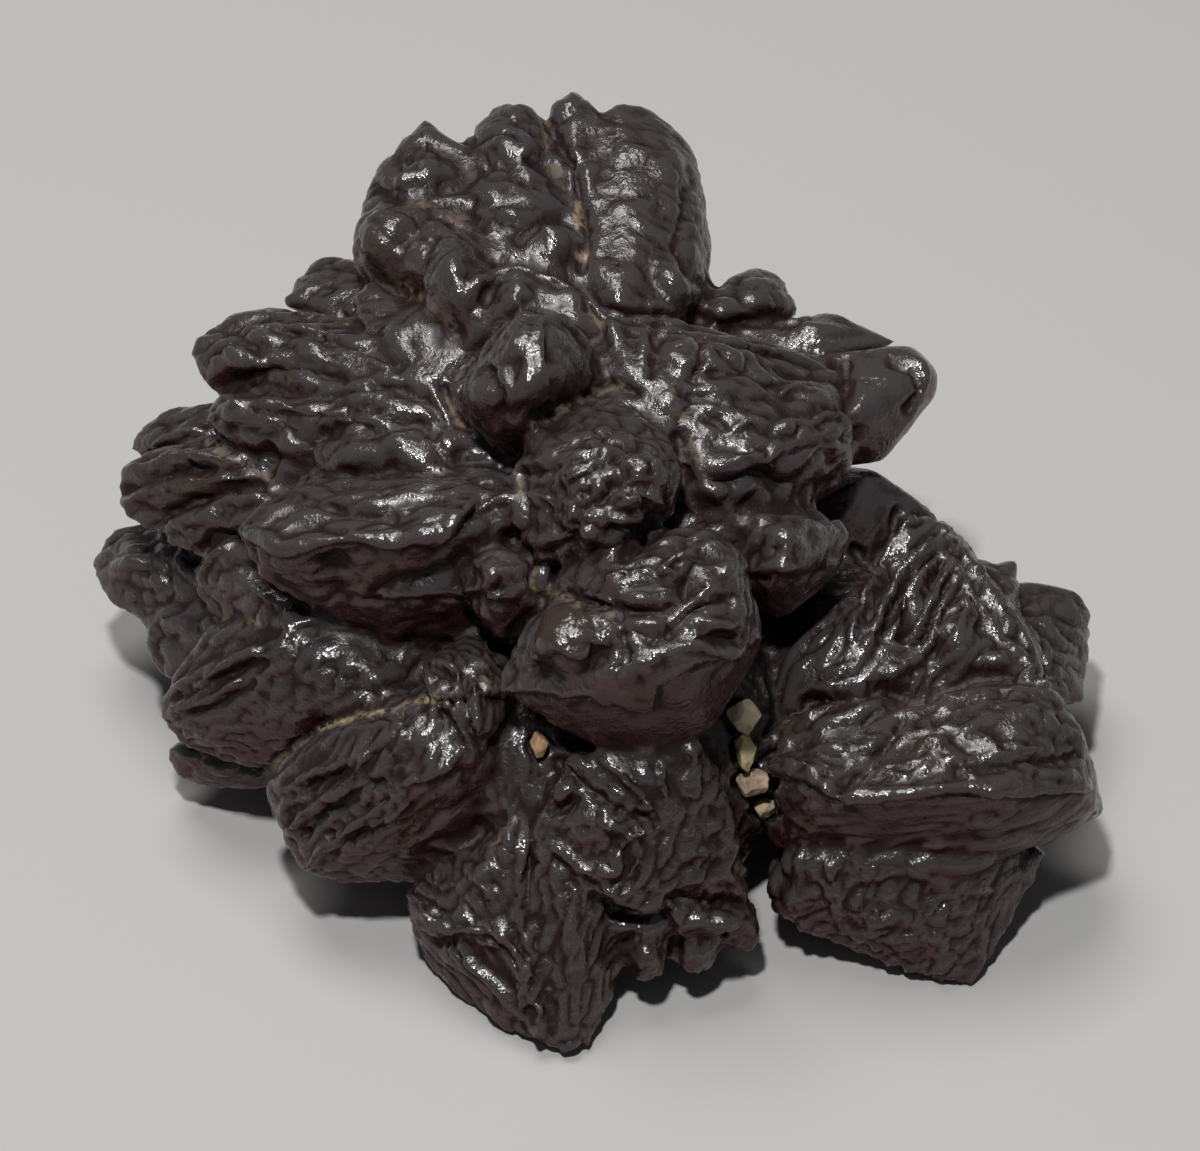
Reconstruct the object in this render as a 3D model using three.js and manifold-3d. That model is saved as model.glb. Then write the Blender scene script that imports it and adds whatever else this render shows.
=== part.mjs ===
// Prophecy stone: a desert-varnished iron-oxide cluster of thick, blunt crystals that grew outwards from
// one centre, with a second fan of crystals on its right and coarse sand grains caught in the crevices.
// Millimetres. The crystals are laid out in the stone's own face frame: x across, y up the face, z out
// of it, with x and y as they appear to an eye EYE in front of the face. The face leans back, so the
// whole cluster is then turned to stand on the ground.
import * as THREE from 'three';
import { ConvexGeometry } from 'three/addons/geometries/ConvexGeometry.js';
import { mergeVertices } from 'three/addons/utils/BufferGeometryUtils.js';
import Module from 'manifold-3d';

const EYE = 400; // distance of the eye that the face is laid out for
const LEAN_DEG = 45; // how far the face leans back from upright
const GROUND = -15.7; // height of the ground below the face frame's origin
const ROOT_SIZE = 3; // half width of the facet that a crystal grows from
const ROUGHEN = 0.1; // how far a crystal's corners stray from the ideal form
const GRAIN_GAP = 0.3; // clearance round a grain in its crevice
const HIDDEN_ROOT = { depth: -6, shift: -1, share: 0.35, size: 4 }; // where a hidden crystal grows from
const HIDDEN_RINGS = [[0.72, 1, 7], [0.97, 0.5, 4]]; // share of its length, share of its width, corners
const HIDDEN_FLATNESS = 0.75; // a hidden crystal's thickness over its width
const END_SHARE = 0.35; // how much of a ridge is left at its two ends
const REACH = 5; // longest step of a ridge over the surface

const wasm = await Module();
wasm.setup();

// A small repeatable generator, so that the stone is the same stone each time.
let seed = 20177;
function stray(size) {
  seed = (seed * 16807) % 2147483647;
  return (seed / 2147483647 - 0.5) * 2 * size;
}

function solid(geometry) {
  const bare = geometry.clone().deleteAttribute('normal').deleteAttribute('uv');
  const merged = mergeVertices(bare, 1e-4);
  return new wasm.Manifold(new wasm.Mesh({
    numProp: 3,
    vertProperties: new Float32Array(merged.getAttribute('position').array),
    triVerts: new Uint32Array(merged.index.array),
  }));
}

function joined(pieces) {
  return pieces.reduce((whole, piece) => whole.add(piece));
}

// A point given as it appears to the eye, put where it really is.
function placed([x, y, z]) {
  const scale = 1 - z / EYE;
  return new THREE.Vector3(x * scale, y * scale, z);
}

// The flat-faced solid that spans a set of points.
function hull(points, size = ROUGHEN) {
  const nudge = () => new THREE.Vector3(stray(size), stray(size), stray(size));
  const strayed = points.map((p) => p.clone().add(nudge()));
  return solid(new ConvexGeometry(strayed));
}

// Six corners round a point: the facet at a crystal's root.
function rootFacet(centre, size = ROOT_SIZE) {
  const ways = [[1, 0, 0], [-1, 0, 0], [0, 1, 0], [0, -1, 0], [0, 0, 1], [0, 0, -1]];
  return ways.map((way) => centre.clone().addScaledVector(new THREE.Vector3(...way), size));
}

// A lump: the corners of an icosahedron, stretched to the lump's three radii.
function lump(centre, radii, detail = 1) {
  const ball = new THREE.IcosahedronGeometry(1, detail).deleteAttribute('normal').deleteAttribute('uv');
  const p = mergeVertices(ball, 1e-4).getAttribute('position');
  const [rx, ry, rz] = radii;
  const corner = (i) => new THREE.Vector3(p.getX(i) * rx, p.getY(i) * ry, p.getZ(i) * rz);
  return hull(Array.from({ length: p.count }, (_, i) => corner(i).add(centre)));
}

// The body that the crystals grew from, as lumps: centre and radii.
const CORE = [[[-5.5, 3.5, -5], [12.5, 12, 8.6]], [[2, -8, -4], [8, 9, 8]], [[13, -7, -5], [6, 8, 7]],
  [[-11, -1, -3.5], [8, 7, 5]], [[-3.5, -9, -1], [5, 5.5, 5.5]], [[3, 5, 0], [8, 8, 5.5]]];

// The crystals that show on the face: the root of each, and the corners that it ends in.
const CRYSTALS = {
  crownWest: {
    root: [-5, 9, -6],
    corners: [[-8.8, 23, -9.5], [-8, 22.4, -9], [-10.4, 21.2, -9], [-11.7, 19.4, -8.5],
      [-11.8, 18.2, -7.5], [-12.4, 16.9, -6.5], [-12.5, 15.4, -5.5], [-8.6, 19.5, -6],
      [-10.6, 16.5, -3.5], [-7.5, 14.6, -1], [-5.5, 17, -3.5], [-6.8, 21.6, -8.2], [-8, 21.3, -14],
      [-11.5, 17.3, -12]],
  },
  crownMiddle: {
    root: [-3, 9, -6],
    corners: [[-4.3, 23.9, -9.5], [-5.6, 23.2, -9.3], [-6.6, 22, -9], [-3, 23.3, -9.2], [-6.3, 17, -4],
      [-4.9, 21.5, -6.6], [-2.6, 19.5, -5.4], [-1.5, 16.5, -3.5], [-3, 14.3, -1], [-6.2, 14.2, -0.8],
      [-5, 22.3, -14]],
  },
  crownPeak: {
    root: [-1, 9, -6],
    corners: [[-1.5, 24.4, -10], [-2.6, 23.4, -9.6], [-0.2, 23.6, -9.8], [-2.2, 19.5, -6],
      [-1.2, 15.5, -3.2], [0.5, 14, -1.8], [1, 18.5, -5.6], [0.6, 22.2, -8.2], [-1, 23.6, -14]],
  },
  crownEast: {
    root: [0, 9, -6],
    corners: [[0.3, 23.7, -9.9], [2, 23.6, -10], [3.4, 22.8, -10], [4.8, 21.2, -10], [5.3, 19.4, -9.4],
      [5.6, 16.3, -8.6], [5.6, 13.9, -7], [1, 21.8, -7.6], [3.6, 20.8, -7.2], [4.5, 18.5, -6.6],
      [4.7, 15.2, -4.8], [3.8, 12.9, -2.6], [0.8, 13.8, -1.4], [0.3, 18.6, -5.4], [3, 22.5, -15],
      [5, 16, -13.5]],
  },
  crownSlab: {
    root: [-2, 9, -6],
    corners: [[-11.4, 17.6, -8], [-9, 21.4, -9.6], [-4.5, 22.4, -9.6], [-1.5, 23, -10],
      [3, 22.4, -10.2], [5, 18, -9.4], [-8.6, 16.6, -4.2], [-6, 19, -6.6], [-2.8, 20, -6.8],
      [-0.4, 20, -7], [3.2, 18.6, -6.8], [-2.4, 14.4, -2], [3, 14.2, -3.6]],
  },
  crownSill: {
    root: [-3, 9, 0],
    corners: [[-7.2, 14.1, -0.5], [-4.2, 15.6, 0.3], [-0.7, 14, 1], [1, 11.9, 1.2], [-6.8, 12.2, 1.2],
      [-4.2, 13.6, 2.6], [-1.2, 12.4, 3], [0.4, 10, 2]],
  },
  crownNose: {
    root: [-5, 12, -4],
    corners: [[-8.9, 14.6, -1.2], [-7.9, 17.2, -2.6], [-6.6, 17.3, -2.6], [-5.4, 15.3, -1],
      [-5.6, 13.2, 0.2], [-7, 12.4, 0.8], [-8.4, 13.2, 0.2], [-7.2, 15.6, 1.2], [-6.8, 13.9, 1.9]],
  },
  backLeft: {
    root: [-9, 10, -6],
    corners: [[-16, 13.7, -8], [-15.2, 15, -9], [-14.2, 15.9, -10], [-12.6, 16.1, -9.5],
      [-12.2, 14.3, -6.5], [-14, 13.6, -6.5], [-14, 14.5, -13]],
  },
  leftTop: {
    root: [-8, 9, -3],
    corners: [[-12.6, 14.1, -5], [-11.5, 15, -4.5], [-9.6, 13.3, -2.2], [-8.8, 11, -0.4],
      [-11.6, 12.6, -2.4], [-10.4, 12.8, -1.6]],
  },
  leftShoulderUpper: {
    root: [-7, 7, -3],
    corners: [[-20.7, 11.1, -5.5], [-20.2, 11.9, -6], [-18.6, 13.1, -6.6], [-16.3, 13.6, -6.4],
      [-12.8, 13.1, -4], [-9.6, 11.1, -1], [-20.2, 9.9, -5], [-19.6, 9.1, -4.8], [-19.4, 10.9, -4],
      [-16.5, 11.8, -3], [-12.4, 10.9, -0.6], [-16.8, 9.8, -2.6], [-11, 8.8, 0.6], [-7.8, 8.6, 1.8],
      [-17, 12, -10]],
  },
  leftShoulderLower: {
    root: [-7, 6, -3],
    corners: [[-19.8, 8.4, -3.8], [-19.4, 7, -3.4], [-18, 6, -3], [-15, 5.4, -1.8], [-18.9, 9.3, -3.4],
      [-18.6, 7.8, -1.9], [-15.8, 8.9, -1.2], [-15.5, 7.2, -0.4], [-12, 8.6, 0.6], [-11.5, 6.6, 1],
      [-7.8, 8.1, 2.2], [-9, 5.8, 2.2], [-17, 8.5, -8]],
  },
  leftBrow: {
    root: [-8, 4, 0],
    corners: [[-14.7, 5.6, -0.2], [-13.8, 6.8, 0.4], [-11.4, 7.4, 1.8], [-9.4, 7.5, 2.8],
      [-7.6, 6.8, 3.4], [-14, 5.2, 1], [-11, 5.8, 3], [-8.5, 5.6, 3.8], [-7, 5, 3.4]],
  },
  leftFanDark: {
    root: [-11, 6, -7],
    corners: [[-23.6, 6.3, -9], [-23.1, 7.5, -9.5], [-21.6, 8.4, -9.5], [-20, 8.8, -8.5],
      [-19.4, 7.2, -6.5], [-21.6, 6.6, -7], [-22, 6, -13]],
  },
  leftFanUpper: {
    root: [-10, 5, -4],
    corners: [[-24.3, 4.5, -6.6], [-24, 5.5, -6.8], [-22.9, 6.2, -6.6], [-20, 7.2, -5.4],
      [-16.4, 7, -3.4], [-23.8, 2.9, -5.8], [-22.8, 2.1, -5.4], [-23.2, 4.6, -4.8], [-19.5, 5.6, -3],
      [-15.6, 5.4, -1.4], [-20.8, 3.2, -4.2], [-17, 3.8, -2.4], [-21, 4, -10]],
  },
  leftFanLower: {
    root: [-10, 3, -3],
    corners: [[-22, 2.2, -4.6], [-21.6, 1.4, -4.4], [-20.1, 0.9, -3.6], [-21, 3.3, -4],
      [-20.6, 2.3, -2.6], [-17.4, 4.4, -1.4], [-16.6, 2.8, -0.2], [-14.4, 4, 0.6], [-20, 2, -8]],
  },
  leftCheek: {
    root: [-10, 1, -3],
    corners: [[-20.5, 0, -4], [-20.2, -1, -3.6], [-18.5, 1.5, -2], [-17.4, -0.2, -0.6],
      [-16.4, 1.2, 0.4], [-15.2, -2.2, 0.2], [-16.6, -2.4, -0.8], [-14, 0, 2], [-19, -2.4, -5]],
  },
  leftDark: {
    root: [-12, 1, -8],
    corners: [[-25.4, 0.4, -12], [-25.1, 1.4, -12.4], [-24.2, 2.4, -12], [-25, -0.9, -11.4],
      [-24.2, -1.8, -10.4], [-22.4, -2.7, -9], [-22.6, 0.6, -8], [-19.8, -2.2, -6], [-19.8, 1, -6],
      [-24, 0.5, -15.5]],
  },
  leftDarkLower: {
    root: [-12, -1, -6],
    corners: [[-23, -2, -9.5], [-22.8, -3.6, -9], [-22.2, -5, -8.4], [-21.6, -5.4, -7.8],
      [-20.2, -3.2, -6], [-18.6, -1.5, -4.4], [-21, -4, -12.5]],
  },
  frontLeftTip: {
    root: [-8, 2, 0],
    corners: [[-18.3, 2.4, 3], [-17.2, 3.7, 2.2], [-14.2, 5.2, 1.6], [-17.6, 2.3, 4.2],
      [-16.3, 1.5, 5.6], [-15.1, 1, 6.2], [-13.6, 1.9, 6], [-13.4, 4.2, 4.4], [-15.8, 3.4, 4.2],
      [-17, -0.4, 2.6], [-14.6, -1.6, 1.8], [-12.6, -2.6, 1.6]],
  },
  frontLeft: {
    root: [-6, 2, 0],
    corners: [[-13.8, 4.8, 2.6], [-8.3, 5.4, 3], [-5.4, 5.4, 3.6], [-4.4, 4.8, 4.4], [-13.2, 2.2, 6.2],
      [-11.3, 1.4, 7.4], [-9.6, 1.2, 7.8], [-7.8, 1.8, 7.6], [-6.6, 3.3, 6.8], [-9.5, 3.6, 6.2],
      [-12, 3.8, 5.4], [-13, -2.3, 1.6], [-10.1, -3.3, 1.4], [-7, -2, 3], [-4.2, 5, 5.8],
      [-4.1, 3.8, 6.5], [-4.3, 2.4, 6.2], [-5.6, 1.2, 5.8]],
  },
  frontLeftBlock: {
    root: [-7, -1, 0],
    corners: [[-10.9, -0.4, 3], [-7.4, 0.2, 4.6], [-7, -1.4, 4.8], [-10.6, -1.7, 3.4], [-9, -0.2, 5],
      [-9, -1.5, 4.6]],
  },
  frontCheek: {
    root: [-3, -1, 2],
    corners: [[-6.7, 0.6, 5.6], [-5.6, 1.6, 6], [-3.6, 1.4, 6.8], [-2.6, 0.2, 7.4], [-6.6, -1.6, 5.2],
      [-5.2, -3.2, 5.4], [-2.8, -1.8, 7], [-5.4, -0.1, 7.8], [-4.2, -0.4, 8.4]],
  },
  lowerLeft: {
    root: [-8, -4, -3],
    corners: [[-22.1, -7, -4.4], [-21.6, -5.6, -4.4], [-21.2, -4.6, -4], [-19.7, -2.3, -3.4],
      [-16.3, -2, -1.4], [-12.5, -3.6, 1.6], [-10.8, -5, 2], [-21.4, -8.2, -4.6], [-19.3, -9.3, -4.6],
      [-17.2, -9.9, -4], [-16, -9.2, -3], [-21, -6.4, -2.8], [-18.4, -4.9, -0.9], [-15.7, -3.3, 0.8],
      [-20, -8, -2.9], [-16, -7.4, -0.6], [-12.6, -6.2, 1.6], [-10.8, -6.6, 1.6], [-20, -6, -8]],
  },
  lowerLeftUnder: {
    root: [-10, -6, -6],
    corners: [[-21.9, -8.6, -7.8], [-21.6, -9.9, -8.2], [-20.4, -10.6, -8.4], [-17.4, -10.9, -7.4],
      [-16.6, -10, -6], [-20.8, -8.6, -6.4], [-18.8, -9.6, -5.6], [-19.5, -9, -10.6]],
  },
  lowerFan: {
    root: [-5, -6, -2],
    corners: [[-16.9, -10.2, -0.8], [-16.3, -9.6, -0.4], [-14.2, -7.6, 1.4], [-12.2, -7, 2.8],
      [-9.2, -6.4, 4.6], [-16.6, -11.7, -0.9], [-15.7, -13.7, -0.8], [-14.8, -14.9, -0.9],
      [-13, -15.6, -1.4], [-10.1, -15.4, -1.6], [-7, -15.2, -1.2], [-15.4, -11.6, 1.2],
      [-14.6, -13.8, 0.9], [-12.2, -8.6, 4], [-9.4, -7.8, 6], [-8.4, -9.6, 6], [-6, -7.8, 5.6],
      [-5.6, -9.6, 4.6], [-6.6, -13.8, 1.4], [-11.6, -13.4, 2.6], [-13, -12, -5]],
  },
  lowerFanHead: {
    root: [-5, -5, 0],
    corners: [[-9, -4.4, 3.6], [-7.6, -3.8, 4.4], [-6, -4.4, 5], [-5.4, -6, 5.8], [-5.6, -7.8, 6],
      [-8.6, -6, 5.6], [-7.4, -5, 5.8], [-6.4, -7.6, 6.4]],
  },
  standing: {
    root: [-3, 7, 1],
    corners: [[-4.3, 13.1, 6.6], [-2.9, 13, 6.6], [-5.6, 12, 6.4], [-7.2, 9.2, 5.4], [-6.9, 8.1, 5.4],
      [-5.7, 7, 6], [-3.8, 7.6, 7.6], [-2.4, 9.8, 8.2], [-3.2, 12, 8.6], [-4.6, 11.8, 8.4],
      [-5, 9, 8.6], [-3.6, 9.2, 9.2], [-0.4, 9.9, 4], [-0.2, 11.6, 3.6], [-1.4, 13.2, 4]],
  },
  boss: {
    root: [0, 4, 0],
    corners: [[-0.3, 9, 5], [1.8, 8.2, 5.6], [3.7, 6.8, 6.4], [4.2, 5, 7], [3.7, 3, 8.4],
      [-3.2, 7.2, 6.4], [-1.5, 8.8, 5], [-4.5, 5.2, 6.4], [-4, 2.8, 7.4], [-2.4, 6, 9.2],
      [0.2, 6.4, 10.4], [2.6, 5.8, 10], [3.4, 4.2, 10.4], [1, 2, 11], [-2, 1.6, 10], [-0.6, 3.8, 11.4],
      [1.6, 3.8, 11.6], [-5, 3.4, 6.4], [-3.8, 0.8, 7.4], [-1.4, 0.6, 9]],
  },
  front: {
    root: [2, -1, -1],
    corners: [[-1.8, 0.8, 8.8], [0, 1.6, 9.4], [2.4, 2.2, 9.4], [5.4, 2.4, 9], [7.2, 1.3, 8.6],
      [7.6, -0.6, 8.4], [8.2, -2.3, 8.2], [8, -3.8, 8], [6.5, -5.6, 8.4], [5.6, -7.8, 6.6],
      [2.4, -9, 6.2], [-0.5, -8.6, 6.4], [-2.6, -7.4, 6.6], [-5.1, -5.9, 6.8], [-4.6, -3.8, 7.4],
      [-2.8, -1.6, 8.4], [0.4, -0.4, 11.8], [3.6, 0.4, 12], [6.6, 0.8, 11], [7, -1.4, 11.4],
      [6.8, -3, 11.4], [1, -4, 12.8], [3.4, -3.8, 13], [5.6, -3.2, 12.4], [0, -5.8, 11.6],
      [3, -5.6, 12], [4.6, -5, 11.4]],
  },
  rightSpear: {
    root: [3, 7, -2],
    corners: [[0.4, 13.2, 1.4], [2.4, 13.2, 0.6], [6.3, 12.2, -1.4], [12.1, 10.8, -3.6], [1, 10.4, 4],
      [6.4, 10, 3], [11.6, 9, 0.2], [12.9, 8.4, -0.6], [12.6, 6.8, 1.4], [10.4, 5.7, 3.6],
      [5.7, 4, 6.2], [4, 6, 5.8], [8, 7.6, 4.6], [11, 7.2, 2.8], [5, 2.6, 3], [9, 2.5, 1],
      [12.5, 4.3, -1.5], [12, 9, -9]],
  },
  rightSpearTip: {
    root: [9, 8, -4],
    corners: [[12.4, 10.8, -4], [15.6, 11.8, -4.6], [17.1, 10.2, -4.9], [16.8, 9, -4.8],
      [15.4, 7, -4.2], [14.2, 5.5, -3.6], [12.8, 7, -0.4], [15.9, 11, -2.9], [16.2, 9.4, -2.6],
      [13, 8.6, -0.4], [13.4, 6.2, -1.6], [15, 9, -8]],
  },
  rightBack: {
    root: [4, 9, -8],
    corners: [[5.4, 13.6, -6.4], [6, 14.7, -8], [6.9, 15.4, -9], [8.2, 15.6, -9.8], [9.3, 14.9, -9.4],
      [10.1, 13.3, -8.4], [8, 13.6, -6.4], [6, 13, -5], [8, 13, -13]],
  },
  rightBackLower: {
    root: [5, 9, -7],
    corners: [[9.6, 13, -6.4], [11.8, 13.3, -7.4], [13.6, 12.2, -7], [15, 11.7, -6.4], [10.4, 12, -5],
      [13, 11.6, -5.4], [12.4, 11, -11]],
  },
  rightUnder: {
    root: [5, 3, -2],
    corners: [[7.8, 2.6, 5.4], [10.4, 2.8, 4.4], [11, 1.2, 4.2], [10.2, -0.8, 4], [8.2, -0.4, 5.4],
      [9.4, 1.4, 6.6], [9.2, 0.2, 6.2], [12.2, 0.2, 1.6], [12.6, 2.4, 1.4], [9, -2.4, 2]],
  },
  cleftWall: {
    root: [9, 3, -8],
    corners: [[13.8, 5.4, -5], [15.4, 3.9, -5.6], [17, 3, -6.4], [13, 1, -5], [12.5, 4.4, -3.4],
      [14, 4, -11], [16.4, 1, -6], [12, -2.6, -5.4], [14, 1.6, -4.2]],
  },
  fanUpper: {
    root: [12, -6, -6],
    corners: [[15.3, 3, -4.6], [17.1, 2.8, -4.4], [17.6, 2, -3.8], [18.6, 0.7, -3], [19.8, -1.5, -1.8],
      [21.3, -2.6, -1.6], [22.2, -4.6, -0.4], [22.3, -5.6, 0.6], [12.7, -0.6, -5], [11, -4, -4.6],
      [9, -7, -2.6], [15.6, 0.8, -2.2], [16.4, -2.4, 0.4], [14.4, -4.6, -0.4], [18.6, -4.6, 0.8],
      [11.4, -6.6, -1], [18.2, 1.8, -9], [22, -3.2, -7]],
  },
  fanLower: {
    root: [12, -9, -6],
    corners: [[9.6, -6.4, -1], [12.7, -5.9, -0.2], [15.7, -5.3, 0.2], [18.6, -4.9, 0.6],
      [22.4, -4.9, 0.4], [24.2, -7.6, 1.2], [24.6, -10.6, 1], [24.9, -11.5, 0.2], [8.3, -9.8, 3.2],
      [9.2, -10.3, 4.2], [11.5, -11.3, 5.8], [15.7, -11.3, 6.6], [20, -11.1, 5.6], [24, -10.9, 2.6],
      [12, -8.4, 3.8], [18, -8, 4.4], [22, -8, 3.4], [8.4, -13.6, 0.8], [12.7, -14.4, 1],
      [19.8, -14.4, 0.2], [23.3, -12.9, -0.8], [25.2, -12, -3.6], [24.8, -10, -3.4]],
  },
  fanFoot: {
    root: [13, -11, -6],
    corners: [[8.2, -15.4, 0], [8.6, -17, -1], [11, -18.2, -1], [13.3, -18.6, -1.4],
      [14.5, -19.4, -1.8], [17.1, -20.6, -1.4], [18.6, -20.6, -1.4], [19.8, -18.8, -2.2],
      [20.4, -16.5, -2.4], [21, -14.8, -2.6], [22.6, -13.8, -2.6], [10, -14.6, 1.8], [14, -15, 2],
      [18, -15, 1.2], [12, -17, 1], [16.5, -18.4, 0.6], [16, -18, -5.6]],
  },
  fanBack: {
    root: [16, -3, -8],
    corners: [[19, 0.8, -7.6], [20.8, 0.8, -8], [21.2, -1, -7.2], [19.6, -2, -4.6], [20.6, -3, -4]],
  },
  fanBackTip: {
    root: [17, -4, -8],
    corners: [[21, -0.2, -9.4], [23.6, -0.4, -10], [24.6, -1.5, -10], [24.6, -3.8, -9.6],
      [24.3, -6.6, -7.6], [22.6, -5.6, -4.6], [21.8, -2.6, -6.6], [23, -2, -13.5]],
  },
  footLeft: {
    root: [-1, -10, -2],
    corners: [[-10, -15.8, 0], [-9.3, -17, 0.8], [-7.2, -17.8, 2.4], [-5.4, -17.6, 3.4],
      [-4.3, -19.1, 3.4], [-3.5, -20.8, 3], [-2.8, -22.6, 2.6], [-1.6, -24.1, 2.4], [-9, -17.6, -0.6],
      [-8.8, -19.4, -2.4], [-7.2, -20.7, -1.3], [-4.8, -22.9, 0.8], [-2.8, -23.3, 1.4], [-6, -15, 4],
      [-4.5, -13, 4.6]],
  },
  footMiddle: {
    root: [0, -9, -2],
    corners: [[-1.6, -24.1, 2.4], [-0.4, -23.7, 1.8], [0.4, -21.4, 0.6], [1, -20.3, 0.4],
      [1.4, -18, 1.6], [-1.8, -17, 4.4], [-0.6, -14.2, 5.6], [-3.4, -13, 5.2], [-2, -10.4, 6],
      [-3.2, -18.6, 3.4], [-1.6, -20.5, 3.2], [-1.4, -22.6, 2.8]],
  },
  footRight: {
    root: [2, -9, -2],
    corners: [[-2, -9.3, 6], [2, -8.6, 7], [5, -8.2, 6.4], [6.4, -11, 4.6], [7.2, -14.4, 3],
      [7.7, -16.9, 1.6], [6, -17.4, 1.8], [4.4, -15.8, 3.2], [2.1, -17.2, 4.4], [0.4, -16, 5],
      [-1, -13.4, 6.2], [1.6, -12, 6.8], [3.6, -12.6, 6], [2.6, -15.8, 5.2]],
  },
};

// Rounded toes and knobs that stand proud of the crystals: centre and radii.
const KNOBS = [[[-10.3, 16.9, -4.6], [1.8, 1.7, 1.6]], [[-7.4, 2.5, 6.4], [1.7, 1.4, 1.6]],
  [[-1.2, -3.2, 10], [2.1, 1.8, 1.9]], [[2.3, -18.4, 1.4], [1.2, 2.1, 1.6]], [[4.8, -18.2, 0.8],
  [1.3, 1.9, 1.6]], [[7, -17.4, 0.4], [1.1, 1.5, 1.5]]];

// Crystals on the back and underneath, which the face hides: the tip of each, and its half width.
const HIDDEN = [[[-16, 9, -17], 3.4], [[-7, 16, -17], 3.6], [[4, 11, -19], 4], [[-12, -4.8, -18], 4],
  [[8, -3.4, -18.6], 4], [[-3, 4, -21], 3.6], [[17, -4, -15], 3.6], [[-19, 1, -15.5], 3.2],
  [[0, -10, -12.2], 3.6], [[-11, -11, -10.4], 3.2], [[12, 6, -14], 3.4], [[-10, 10, -19], 3]];

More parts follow.
